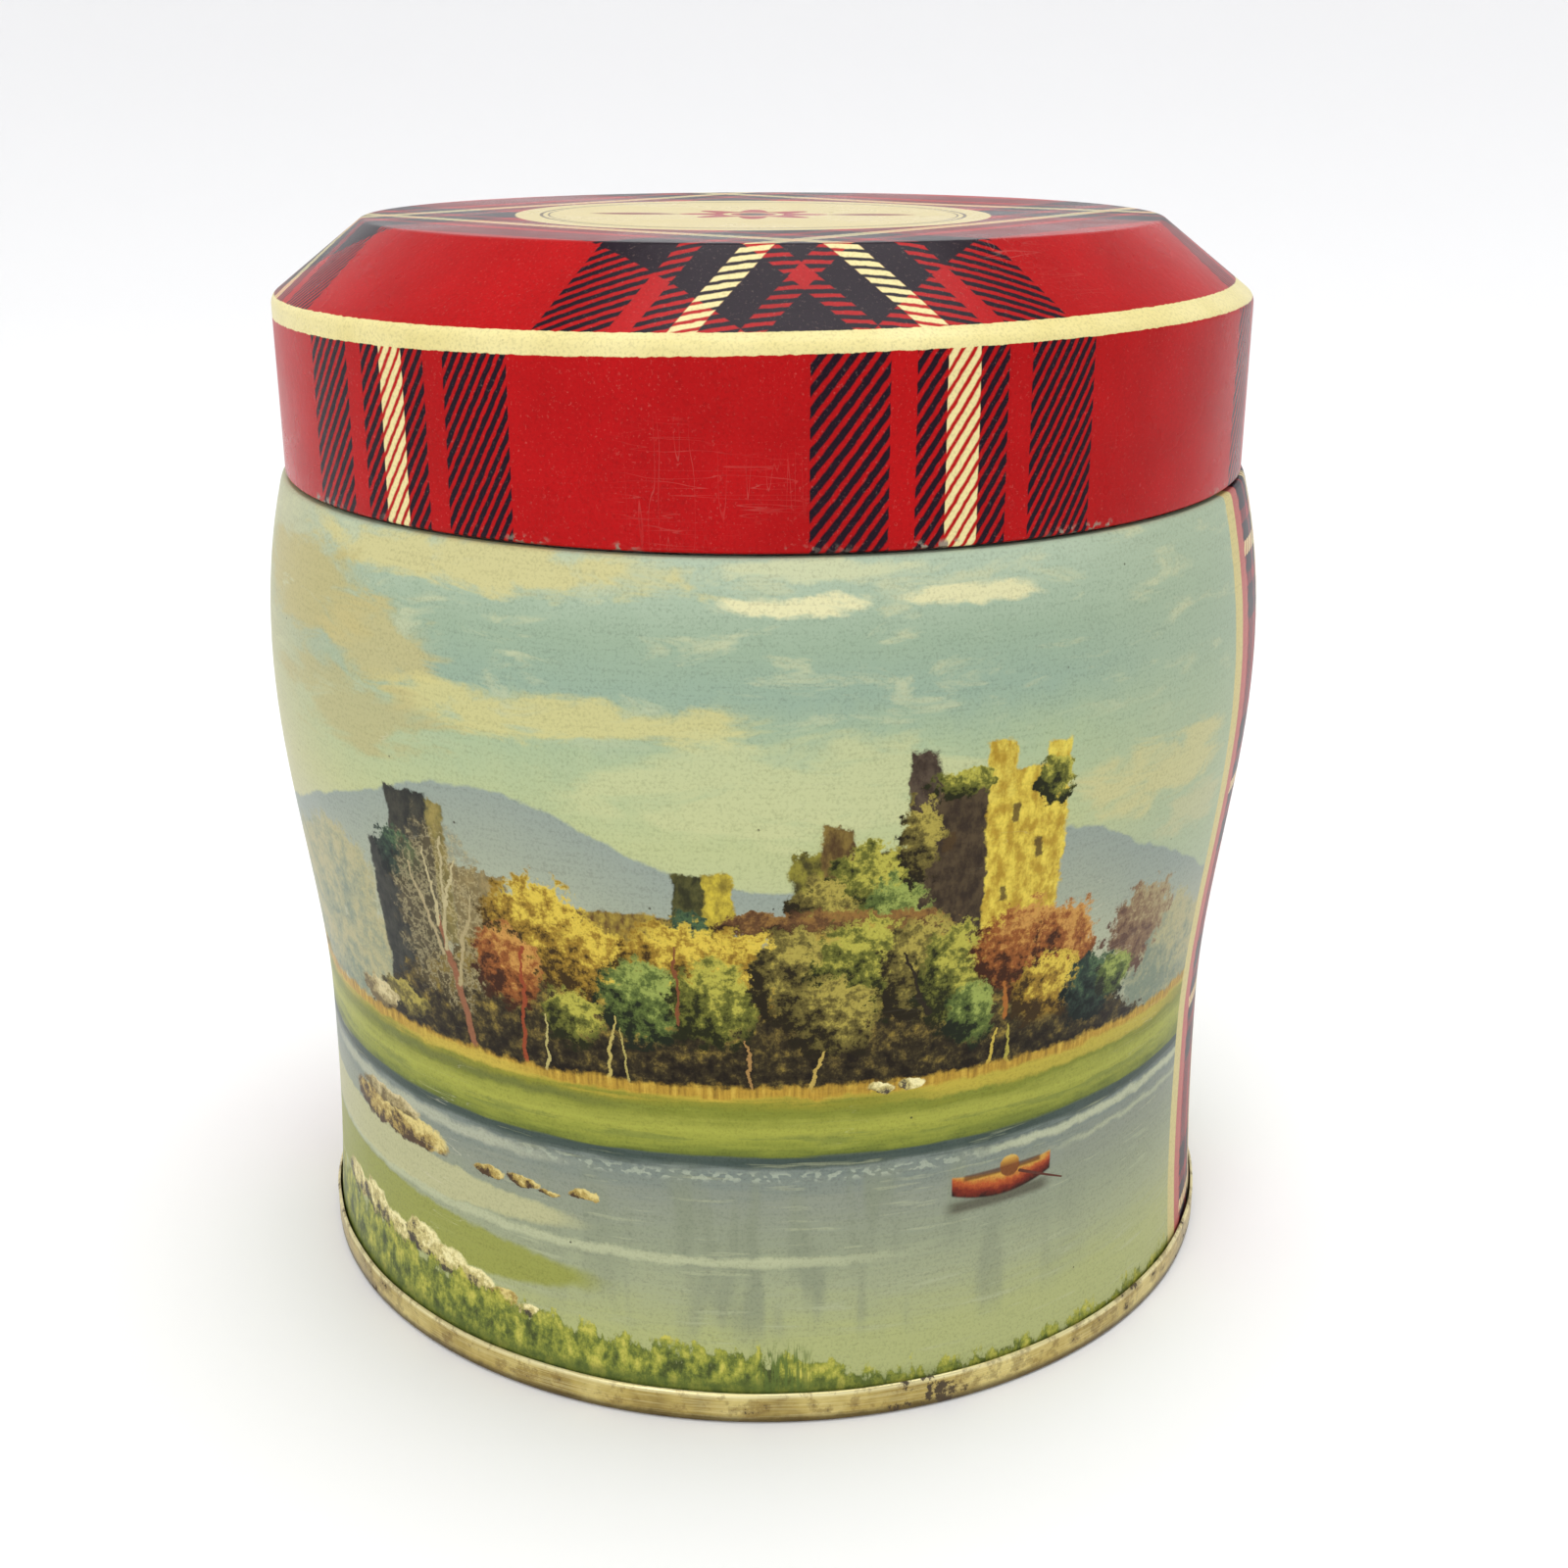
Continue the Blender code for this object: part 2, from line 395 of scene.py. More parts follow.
def srgb(code):
    """Linear RGBA of a colour written as six hexadecimal digits."""
    channels = []
    for start in (0, 2, 4):
        value = int(code[start:start + 2], 16) / 255
        channels.append(value / 12.92 if value <= 0.04045 else ((value + 0.055) / 1.055) ** 2.4)
    return (*channels, 1.0)


class Field:
    """A number or colour that a node puts out; arithmetic on it adds Math nodes."""

    def __init__(self, paint, socket):
        self.paint = paint
        self.socket = socket

    def __add__(self, other):
        return self.paint.math("ADD", self, other)

    def __sub__(self, other):
        return self.paint.math("SUBTRACT", self, other)

    def __rsub__(self, other):
        return self.paint.math("SUBTRACT", other, self)

    def __mul__(self, other):
        return self.paint.math("MULTIPLY", self, other)

    def __truediv__(self, other):
        return self.paint.math("DIVIDE", self, other)

    def __abs__(self):
        return self.paint.math("ABSOLUTE", self)

    __radd__ = __add__
    __rmul__ = __mul__


class Painter:
    """Adds shader nodes to one node tree, in the order in which they are used."""

    def __init__(self, tree):
        self.tree = tree

    def node(self, kind, inputs=(), **settings):
        node = self.tree.nodes.new(kind)
        count = len(self.tree.nodes)
        node.location = (count % 40 * 200, -(count // 40) * 300)
        for name, value in settings.items():
            setattr(node, name, value)
        for key, value in dict(inputs).items():
            if isinstance(value, Field):
                self.tree.links.new(value.socket, node.inputs[key])
            else:
                node.inputs[key].default_value = value
        return node

    def math(self, operation, *values):
        node = self.node("ShaderNodeMath", dict(enumerate(values)), operation=operation)
        return Field(self, node.outputs[0])

    def largest(self, first, *others):
        for other in others:
            first = self.math("MAXIMUM", first, other)
        return first

    def smallest(self, first, *others):
        for other in others:
            first = self.math("MINIMUM", first, other)
        return first

    def smooth(self, value, start, end):
        """0 up to start and 1 from end on, with an eased step between."""
        inputs = {"Value": value, "From Min": start, "From Max": end}
        node = self.node("ShaderNodeMapRange", inputs, interpolation_type="SMOOTHSTEP", clamp=False)
        return Field(self, node.outputs["Result"])

    def between(self, value, low, high, soft):
        """1 where low < value < high."""
        return self.smooth(value, low - soft, low + soft) * self.smooth(value, high + soft, high - soft)

    def near(self, value, centre, half, soft):
        """1 where the value is within half of the centre."""
        return self.smooth(abs(value - centre), half + soft, half - soft)

    def lines(self, value, pitch, share):
        """Repeated lines that take that share of each pitch."""
        phase = self.math("FRACT", value / pitch)
        return self.near(phase, 0.5, share / 2, 0.09)

    def turned(self, value, low, high):
        return self.math("WRAP", value, high, low)

    def blend(self, below, above, share):
        inputs = {0: share, 6: below, 7: above}
        node = self.node("ShaderNodeMix", inputs, data_type="RGBA")
        return Field(self, node.outputs[2])

    def lay(self, below, code, share):
        """A colour code laid over what is below."""
        return self.blend(below, srgb(code), share)

    def distance(self, x, y):
        return self.math("SQRT", x * x + y * y)

    def tint(self, colour, strength):
        """The colour darkened to that share of itself."""
        return self.blend((0.0, 0.0, 0.0, 1.0), colour, strength)

    def noise(self, place, scale, detail, roughness=0.5, distortion=0.0):
        """Four noise values around 0.5 at a place of two or three numbers."""
        inputs = dict(zip("XYZ", place))
        inputs.update(Scale=scale, Detail=detail, Roughness=roughness, Distortion=distortion)
        group = noise_group("flat_noise" if len(place) == 2 else "solid_noise")
        node = self.node("ShaderNodeGroup", inputs, node_tree=group)
        return [Field(self, output) for output in node.outputs]

    def value_noise(self, place, scale, detail, roughness=0.5, distortion=0.0):
        return self.noise(place, scale, detail, roughness, distortion)[0]

    def cells(self, place, scale):
        """Distance to the nearest of many scattered points."""
        inputs = dict(zip("XYZ", place))
        node = self.node("ShaderNodeGroup", {**inputs, "Scale": scale}, node_tree=cells_group())
        return Field(self, node.outputs[0])

    def ramp(self, value, stops):
        """Colour at a value, from (place, colour code) stops."""
        node = self.node("ShaderNodeValToRGB", {0: value})
        elements = node.color_ramp.elements
        while len(elements) < len(stops):
            elements.new(0.5)
        for element, (place, code) in zip(elements, stops):
            element.position = place
            element.color = srgb(code)
        return Field(self, node.outputs[0])

    def curve(self, value, points):
        """A height at a value, along a smooth line through (value, height) points."""
        low = points[0][0]
        high = points[-1][0]
        share = (value - low) / (high - low)
        node = self.node("ShaderNodeFloatCurve", {"Factor": 1.0, "Value": share})
        line = node.mapping.curves[0]
        scaled = [((place - low) / (high - low), height / 2) for place, height in points]
        while len(line.points) < len(scaled):
            line.points.new(0.5, 0.5)
        for point, place in zip(line.points, scaled):
            point.location = place
        node.mapping.update()
        return Field(self, node.outputs[0]) * 2.0

    def place(self):
        """Place on the object in lid radii, as x, y, z and the angle from the front."""
        node = self.node("ShaderNodeGroup", node_tree=place_group())
        return [Field(self, output) for output in node.outputs]


NUMBER = "NodeSocketFloat"
COLOUR = "NodeSocketColor"


def numbers(*names):
    """Number sockets with these names."""
    return [(name, NUMBER) for name in names]


def colours(*names):
    return [(name, COLOUR) for name in names]


def new_group(name, inputs, outputs):
    """A node group with the given (name, kind) sockets, its painter and its input fields.

    Only numbers and colours pass between groups: the renderer adds a hidden node where kinds differ, and
    in a long painting those nodes would come last and hold every layer's values at once.
    """
    tree = bpy.data.node_groups.new(name, "ShaderNodeTree")
    for socket, kind in inputs:
        tree.interface.new_socket(socket, in_out="INPUT", socket_type=kind)
    for socket, kind in outputs:
        tree.interface.new_socket(socket, in_out="OUTPUT", socket_type=kind)
    paint = Painter(tree)
    entry = paint.node("NodeGroupInput")
    return paint, [Field(paint, entry.outputs[socket]) for socket, _ in inputs]


def end_group(paint, **results):
    paint.node("NodeGroupOutput", results)
    return paint.tree


def shared_group(build):
    """Makes a group the first time it is asked for, and finds it again after that."""
    def find(name=build.__name__):
        return bpy.data.node_groups.get(name) or build(name)
    return find


@shared_group
def noise_group(name):
    flat = name == "flat_noise"
    letters = "XY" if flat else "XYZ"
    settings = ("Scale", "Detail", "Roughness", "Distortion")
    outputs = numbers("Value", "First", "Second", "Third")
    paint, fields = new_group(name, numbers(*letters, *settings), outputs)
    place = paint.node("ShaderNodeCombineXYZ", dict(enumerate(fields[:len(letters)])))
    inputs = dict(zip(settings, fields[len(letters):]))
    inputs["Vector"] = Field(paint, place.outputs[0])
    noise = paint.node("ShaderNodeTexNoise", inputs, noise_dimensions="2D" if flat else "3D")
    parts = paint.node("ShaderNodeSeparateColor", {0: Field(paint, noise.outputs[1])})
    first, second, third = [Field(paint, output) for output in parts.outputs]
    return end_group(paint, Value=Field(paint, noise.outputs[0]), First=first, Second=second, Third=third)


@shared_group
def cells_group(name):
    paint, (x, y, z, scale) = new_group(name, numbers("X", "Y", "Z", "Scale"), numbers("Distance"))
    place = Field(paint, paint.node("ShaderNodeCombineXYZ", {0: x, 1: y, 2: z}).outputs[0])
    cells = paint.node("ShaderNodeTexVoronoi", {"Vector": place, "Scale": scale})
    return end_group(paint, Distance=Field(paint, cells.outputs[0]))


@shared_group
def place_group(name):
    paint, _ = new_group(name, [], numbers("X", "Y", "Z", "Angle"))
    source = Field(paint, paint.node("ShaderNodeTexCoord").outputs["Object"])
    parts = paint.node("ShaderNodeSeparateXYZ", {0: source})
    x, y, z = [Field(paint, output) / R for output in parts.outputs]
    return end_group(paint, X=x, Y=y, Z=z, Angle=paint.math("ARCTAN2", x, y * -1.0))


def new_finish(name):
    material = bpy.data.materials.new(name)
    material.use_nodes = True
    return material, Painter(material.node_tree), material.node_tree.nodes["Principled BSDF"]


def connect(paint, shader, name, value):
    paint.tree.links.new(value.socket, shader.inputs[name])


def bump(paint, shader, height, distance, strength=1.0):
    node = paint.node("ShaderNodeBump", {"Strength": strength, "Distance": distance, "Height": height})
    paint.tree.links.new(node.outputs[0], shader.inputs["Normal"])


# ---------------------------------------- lid print

PRINT_SPECULAR = 0.10                      # low, so that the dark inks stay as deep as in the photograph
INK = "1a0a18"
CREAM = "e6d79a"
PRINT_SHIFT = 0.02                         # the top print sits off centre, towards -X, in lid radii
PATTERN_TURN = math.radians(6.2)
GROUP_PLACE = 0.5275                       # stripe groups from the print's centre, in lid radii
TOP_STRIPES = (0.0205, 0.0755, 0.1115, 0.2355)
TOP_HATCH_PITCH = 0.0155
SKIRT_STRIPES = tuple(math.radians(angle) for angle in (1.7, 4.8, 7.4, 15.1))
SKIRT_HATCH_PITCH = 0.0345
SKIRT_GROUP = math.radians(20.0)
SKIRT_PERIOD = math.radians(60.0)
HATCH_SLOPE = 1.55                         # rise of the skirt hatch per lid radius round the skirt
HATCH_BEND = 0.6                           # and how fast that slope grows across a stripe group
RIM_BAND = (1.022, 1.068)                  # cream band, by the distance unrolled from the axis
DISC_RADIUS = 0.488
DISC_RINGS = ((0.435, 0.0035), (0.420, 0.0018))


def stripe_group(paint, distance, edges, soft):
    """Dark and cream parts of one stripe group, by the distance from its middle."""
    narrow = paint.between(distance, edges[0], edges[1], soft)
    wide = paint.between(distance, edges[2], edges[3], soft)
    cream = paint.smooth(distance, edges[0] + soft, edges[0] - soft)
    return paint.largest(narrow, wide), cream


def top_check(paint, x, y, red):
    x = x + PRINT_SHIFT
    across = []
    for turn in (PATTERN_TURN + math.pi / 4, PATTERN_TURN - math.pi / 4):
        distance = x * math.cos(turn) + y * math.sin(turn)
        across.append(abs(abs(distance) - GROUP_PLACE))
    dark_a, cream_a = stripe_group(paint, across[0], TOP_STRIPES, 0.0015)
    dark_b, cream_b = stripe_group(paint, across[1], TOP_STRIPES, 0.0015)
    run = y * math.cos(PATTERN_TURN) - x * math.sin(PATTERN_TURN)
    hatch = paint.lines(run, TOP_HATCH_PITCH, 0.56)
    ink = paint.largest(dark_a * dark_b, paint.largest(dark_a, dark_b) * hatch)
    dashes = paint.lines(run + 0.0078, TOP_HATCH_PITCH, 0.60) * paint.largest(cream_a, cream_b)
    return paint.lay(paint.lay(red, INK, ink), CREAM, dashes)


def skirt_check(paint, angle, z, red):
    """Upright stripe groups of the skirt, hatched with slanting lines."""
    turn = paint.turned(angle - SKIRT_GROUP, -SKIRT_PERIOD / 2, SKIRT_PERIOD / 2)
    dark, cream = stripe_group(paint, abs(turn), SKIRT_STRIPES, 0.0012)
    run = z - turn * (turn * HATCH_BEND + HATCH_SLOPE)
    colour = paint.lay(red, INK, dark * paint.lines(run, SKIRT_HATCH_PITCH, 0.60))
    return paint.lay(colour, CREAM, cream * paint.lines(run + 0.004, SKIRT_HATCH_PITCH, 0.62))


def medallion(paint, x, y, colour):
    """Cream disc in the middle of the lid with a double ring, a plain rosette and two leaves."""
    x = x + PRINT_SHIFT
    reach = paint.distance(x, y)
    angle = paint.math("ARCTAN2", x, y * -1.0)
    colour = paint.lay(colour, "d9c88c", paint.smooth(reach, DISC_RADIUS + 0.002, DISC_RADIUS - 0.002))
    for ring, half_width in DISC_RINGS:
        colour = paint.lay(colour, "6b5a3a", paint.near(reach, ring, half_width, 0.001))
    petals = paint.math("COSINE", angle * 8.0) * 0.035 + 0.12
    colour = paint.lay(colour, "a8242a", paint.smooth(reach - petals, 0.002, -0.002))
    colour = paint.lay(colour, "d9c88c", paint.near(reach, 0.055, 0.008, 0.002))
    colour = paint.lay(colour, "2c3a2a", paint.smooth(reach, 0.032, 0.028))
    for side in (-1.0, 1.0):
        along = (x * side - 0.245) / 0.095
        leaf = along * along + abs(y / 0.030)
        colour = paint.lay(colour, "8a3c30", paint.smooth(leaf, 1.03, 0.97))
    return colour


def scratches(paint, place, stretch, scale, width):
    """Fine hair scratches along one direction, patchy over the surface."""
    drawn = [value * factor for value, factor in zip(place, stretch)]
    field = paint.value_noise(drawn, scale, 1.0)
    patch = paint.value_noise(place, 2.3, 2.0)
    return paint.near(field, 0.5, width, width * 0.6) * paint.smooth(patch, 0.60, 0.76)


def lid_print():
    material, paint, shader = new_finish("lid_print")
    x, y, z, angle = paint.place()
    place = (x, y, z)
    reach = paint.distance(x, y)
    _, shift_x, shift_y, shift_z = paint.noise(place, 55.0, 2.0)
    x = x + (shift_x - 0.5) * 0.004
    y = y + (shift_y - 0.5) * 0.004
    ink_z = z + (shift_z - 0.5) * 0.006
    ink_angle = angle + (shift_x - 0.5) * 0.004
    unrolled = (
        paint.smallest(reach, PLATE_RADIUS)
        + paint.largest(reach - PLATE_RADIUS, 0.0) * CHAMFER_STRETCH
        + paint.largest(RIM_Z - z, 0.0)
    )

    cloud = paint.value_noise(place, 6.0, 3.0)
    red = paint.ramp(cloud, [(0.3, "a60609"), (0.7, "b4090d")])
    top = medallion(paint, x, y, top_check(paint, x, y, red))
    skirt = skirt_check(paint, ink_angle, ink_z, red)
    colour = paint.blend(top, skirt, paint.smooth(unrolled, RIM_REACH, RIM_REACH + 0.004))

    ragged = paint.value_noise(place, 70.0, 3.0)
    band_place = unrolled + (ragged - 0.5) * 0.006 + paint.math("SINE", angle) * 0.02
    band = paint.between(band_place, *RIM_BAND, 0.001)
    cream = paint.ramp(cloud, [(0.3, "ddcf8a"), (0.7, "e8dc9f")])
    colour = paint.blend(colour, cream, band)

    specks = paint.smooth(paint.cells(place, 34.0), 0.085, 0.05)
    speck_patch = paint.smooth(paint.value_noise(place, 9.0, 1.0), 0.54, 0.62)
    colour = paint.lay(colour, "4b3a26", specks * speck_patch * band)
    upright = scratches(paint, place, (9.0, 9.0, 0.7), 5.0, 0.006)
    round_about = scratches(paint, place, (1.0, 1.0, 16.0), 4.0, 0.007)
    wear = paint.largest(upright, round_about)
    grain = paint.value_noise(place, 190.0, 1.0, 0.6)
    colour = paint.tint(colour, grain * 0.60 + 0.68)
    dust = paint.smooth(paint.value_noise(place, 170.0, 2.0, 0.7), 0.58, 0.76)
    colour = paint.lay(colour, "d9b4a4", paint.largest(wear * 0.16, dust * 0.09))
    edge = paint.near(z, LID_EDGE_Z + 0.006, 0.008, 0.006) * paint.smooth(ragged, 0.5, 0.62)
    chips = edge * paint.smooth(paint.value_noise(place, 7.0, 3.0), 0.5, 0.6)
    colour = paint.lay(colour, "8c8172", chips)

    connect(paint, shader, "Base Color", colour)
    connect(paint, shader, "Metallic", chips * 0.8)
    smear = paint.value_noise(place, 3.2, 4.0, 0.6)
    roughness = paint.smooth(smear, 0.25, 0.75) * 0.10 + wear * 0.10 + 0.24
    connect(paint, shader, "Roughness", roughness)
    shader.inputs["Specular IOR Level"].default_value = PRINT_SPECULAR
    bump(paint, shader, paint.value_noise(place, 45.0, 3.0, 0.6), 0.05 * MM, 0.5)
    return material


# ---------------------------------------- body print

# Places are an angle in degrees and a height in lid radii, and so are half widths and half heights.
PANEL_CENTRE = math.radians(-13.0)
BORDER = 15.0                              # degrees, half the width of the check strip between the panels
STRIP_CENTRE = math.radians(77.0)
STRIP_UPRIGHTS = (0.0245, 0.06, 0.085, 0.14)
STRIP_LEVELS = (0.014, 0.05, 0.075, 0.145)
STRIP_PERIOD = 0.5                         # lid radii from one level stripe group to the next
STRIP_EDGES = (9.45, 12.05)                # degrees to the pink border and to the cream one

PALETTES = {                               # shade, middle and light of each kind of foliage or stone
    "gold": ("3a2a10", "937428", "d2b848"),
    "brown": ("2c1e14", "5f4228", "8a6634"),
    "russet": ("3c2010", "8c5226", "c08e48"),
    "green": ("22240f", "626428", "b0aa48"),
    "moss": ("1c2214", "54632e", "93a050"),
    "olive": ("241e10", "665c2c", "a89a48"),
    "dark": ("0e1814", "26362c", "486040"),
    "far": ("7a8672", "929678", "aca67c"),
    "heath": ("5c4234", "80664a", "a09068"),
    "straw": ("6a5b38", "a39363", "cdbf8f"),
    "stone": ("4a4238", "c0b272", "ece2a8"),
    "rock": ("4d3a28", "a8904e", "d8c67e"),
}

CLOUDS = (                                 # centre, height, half width, half height, colour, strength
    (-30.0, 1.685, 26.0, 0.045, "cdc488", 0.85),
    (-58.0, 1.58, 16.0, 0.10, "b8ad74", 0.85),
    (-42.0, 1.52, 9.0, 0.09, "bdb27a", 0.80),
    (-22.0, 1.435, 22.0, 0.045, "c9c284", 0.85),
    (-48.0, 1.38, 16.0, 0.08, "b4ab78", 0.75),
    (4.0, 1.645, 7.5, 0.020, "e0dbac", 0.95),
    (20.0, 1.655, 9.0, 0.022, "ddd8a8", 0.90),
    (6.0, 1.70, 12.0, 0.020, "cfd0a4", 0.70),
    (2.0, 1.32, 20.0, 0.10, "c3c592", 0.65),
    (46.0, 1.26, 13.0, 0.075, "c6c08a", 0.80),
    (54.0, 1.14, 10.0, 0.05, "bdbb90", 0.70),
)

FAR_TREES = (                              # centre, height, half width, half height, kind
    (-55.0, 1.00, 9.0, 0.11, "far"),
    (-64.0, 0.93, 8.0, 0.12, "far"),
    (-72.0, 0.88, 8.0, 0.12, "far"),
    (-50.0, 0.86, 7.0, 0.10, "far"),
    (52.0, 0.84, 8.0, 0.12, "far"),
    (60.0, 0.80, 6.0, 0.09, "far"),
    (-56.0, 0.79, 10.0, 0.085, "far"),
    (-69.0, 0.78, 10.0, 0.080, "far"),
    (-84.0, 0.78, 11.0, 0.075, "far"),
    (-79.0, 0.84, 6.0, 0.090, "far"),
    (-76.0, 0.735, 9.0, 0.030, "olive"),
    (58.0, 0.755, 9.0, 0.055, "far"),
)

WALLS = (                                  # left, right, foot, top, roughness of the top, shade, light
    (-46.0, -40.0, 0.76, 1.12, 0.05, "262825", "3c3c34"),
    (-41.5, -35.2, 0.76, 1.25, 0.03, "282a26", "403e34"),
    (-35.4, -33.4, 0.95, 1.24, 0.03, "6b6438", "98894c"),
    (-33.4, -26.5, 0.80, 1.12, 0.06, "6f6344", "968558"),
    (-21.0, -6.0, 0.98, 1.080, 0.015, "5d4526", "a58f3c"),
    (-8.5, -5.4, 1.00, 1.165, 0.020, "2e2f1c", "56542c"),
    (-5.6, -2.4, 1.00, 1.170, 0.020, "7e6f2a", "c8b43e"),
    (3.0, 15.0, 0.98, 1.205, 0.045, "3f3a1e", "8b8434"),
    (6.0, 9.0, 1.15, 1.255, 0.030, "4e3a22", "7f6a34"),
    (14.5, 22.8, 0.98, 1.330, 0.025, "32281f", "51432f"),
    (14.5, 17.2, 1.28, 1.385, 0.020, "3a2f26", "54473a"),
    (22.6, 31.8, 0.98, 1.335, 0.025, "a8882c", "dcc650"),
    (22.4, 25.2, 1.28, 1.390, 0.020, "a8882c", "d8c454"),
    (29.4, 31.8, 1.28, 1.375, 0.020, "b39330", "dccb58"),
)

WINDOWS = (
    (25.6, 1.250, 0.45, 0.018),
    (28.8, 1.170, 0.45, 0.018),
    (25.0, 1.090, 0.40, 0.014),
    (18.6, 1.210, 0.45, 0.020),
    (8.2, 1.110, 0.55, 0.020),
)

IVY = (
    (10.5, 1.13, 4.2, 0.09, "green"),
    (6.0, 1.09, 3.5, 0.07, "olive"),
    (13.2, 1.07, 3.5, 0.08, "moss"),
    (19.6, 1.320, 3.4, 0.030, "green"),
    (15.6, 1.220, 2.2, 0.080, "olive"),
    (30.2, 1.300, 2.2, 0.045, "green"),
    (-7.2, 1.05, 2.2, 0.040, "dark"),
    (-41.0, 1.10, 3.6, 0.06, "dark"),
)

BACK_CROWNS = (                            # painted before the dark mass of trees
    (0.0, 1.065, 4.5, 0.028, "brown"),
    (7.0, 1.065, 5.5, 0.030, "brown"),
    (14.0, 1.050, 6.0, 0.035, "brown"),
    (46.5, 0.925, 6.0, 0.095, "heath"),
    (53.0, 0.830, 4.5, 0.080, "far"),
)

CROWNS = (                                 # painted over it, from back to front
    (-23.5, 1.015, 6.4, 0.110, "gold"),
    (-27.5, 0.930, 4.2, 0.085, "russet"),
    (-17.5, 0.960, 4.8, 0.090, "gold"),
    (-1.5, 0.965, 4.4, 0.090, "gold"),
    (-8.5, 0.965, 6.6, 0.105, "gold"),
    (-12.5, 0.895, 4.6, 0.090, "moss"),
    (-5.0, 0.900, 4.6, 0.095, "green"),
    (4.5, 0.955, 5.6, 0.105, "olive"),
    (10.5, 0.970, 5.4, 0.105, "green"),
    (7.5, 0.870, 4.6, 0.085, "olive"),
    (16.5, 0.950, 4.2, 0.115, "olive"),
    (20.0, 0.930, 3.8, 0.115, "green"),
    (28.5, 0.960, 6.2, 0.100, "russet"),
    (34.0, 0.950, 4.2, 0.085, "russet"),
    (32.0, 0.865, 4.6, 0.075, "gold"),
    (22.5, 0.845, 3.0, 0.070, "moss"),
    (39.0, 0.830, 4.2, 0.075, "dark"),
    (42.5, 0.840, 3.0, 0.050, "moss"),
    (-20.5, 0.845, 3.6, 0.060, "green"),
    (-45.0, 0.775, 4.4, 0.040, "olive"),
    (-50.0, 0.755, 4.0, 0.028, "straw"),
)

HILL_LINE = (                              # radians from the front, height in lid radii
    (-1.9, 1.02), (-1.3, 1.06), (-0.85, 1.20), (-0.52, 1.29), (-0.35, 1.255), (-0.17, 1.175),
    (0.0, 1.135), (0.3, 1.15), (0.56, 1.20), (0.78, 1.11), (0.95, 1.035), (1.1, 0.96), (1.4, 0.95),
)

SHORE_LINE = (
    (-1.9, 0.19), (-1.0, 0.195), (-0.62, 0.185), (-0.3, 0.165), (0.0, 0.150),
    (0.12, 0.125), (0.22, 0.098), (0.5, 0.088), (1.4, 0.086),
)

TREE_LINE = (
    (-1.05, 0.70), (-0.86, 0.74), (-0.78, 0.84), (-0.66, 0.90), (-0.52, 1.00), (-0.42, 1.04), (-0.30, 0.98),
    (-0.15, 0.99), (0.0, 1.02), (0.2, 1.05), (0.35, 1.01), (0.5, 1.00), (0.60, 0.96), (0.68, 0.86),
    (0.78, 0.78), (0.88, 0.72), (1.05, 0.70),
)

TRUNKS = (                                 # foot, head, width at the foot, colour
    (-33.5, 0.73, -36.0, 1.00, 0.020, "8c5c40"),
    (-36.0, 0.92, -39.5, 1.10, 0.010, "a89a72"),
    (-35.4, 0.93, -34.2, 1.17, 0.010, "b0a47a"),
    (-34.6, 0.86, -31.0, 1.06, 0.010, "a8996e"),
    (-36.0, 0.98, -37.0, 1.14, 0.008, "b7ab80"),
    (-35.0, 1.02, -32.6, 1.13, 0.007, "b7ab80"),
    (-26.5, 0.73, -25.4, 0.98, 0.011, "8f4326"),
    (-23.8, 0.72, -23.2, 0.84, 0.007, "b3a768"),
    (-16.6, 0.72, -15.4, 0.86, 0.009, "b5a45c"),
    (-14.4, 0.72, -14.8, 0.84, 0.006, "a89b58"),
    (-1.0, 0.72, -1.4, 0.83, 0.006, "a07c48"),
    (5.4, 0.72, 6.6, 0.80, 0.010, "b59c50"),
    (17.6, 0.86, 14.6, 1.00, 0.010, "2a2318"),
    (27.0, 0.82, 26.5, 0.90, 0.012, "a0642c"),
    (25.6, 0.71, 26.0, 0.80, 0.010, "c0a848"),
    (28.2, 0.71, 27.4, 0.80, 0.009, "a89c44"),
    (-8.5, 0.86, -8.8, 1.02, 0.007, "7c4a2c"),
)

STONES = (
    (-63.0, 0.220, 4.2, 0.034, "stone"),
    (-56.5, 0.225, 4.0, 0.040, "stone"),
    (-50.5, 0.205, 3.8, 0.036, "stone"),
    (-45.0, 0.225, 3.6, 0.036, "stone"),
    (-40.0, 0.208, 3.4, 0.032, "stone"),
    (-35.5, 0.195, 2.8, 0.026, "stone"),
    (-31.5, 0.180, 2.1, 0.017, "rock"),
    (-27.5, 0.165, 2.2, 0.015, "stone"),
    (-52.0, 0.470, 8.5, 0.036, "rock"),
    (-45.0, 0.468, 5.5, 0.034, "rock"),
    (-51.0, 0.508, 7.0, 0.018, "straw"),
    (-33.0, 0.455, 2.2, 0.012, "rock"),
    (-28.0, 0.457, 2.4, 0.012, "rock"),
    (-24.5, 0.447, 1.5, 0.006, "rock"),
    (-20.0, 0.457, 2.0, 0.011, "rock"),
    (13.0, 0.712, 1.6, 0.012, "stone"),
    (16.5, 0.712, 1.4, 0.012, "stone"),
)


def canvas_group(name, inputs):
    """A node group that paints one thing on a canvas colour."""
    return new_group(name, colours("Canvas") + inputs, colours("Canvas"))


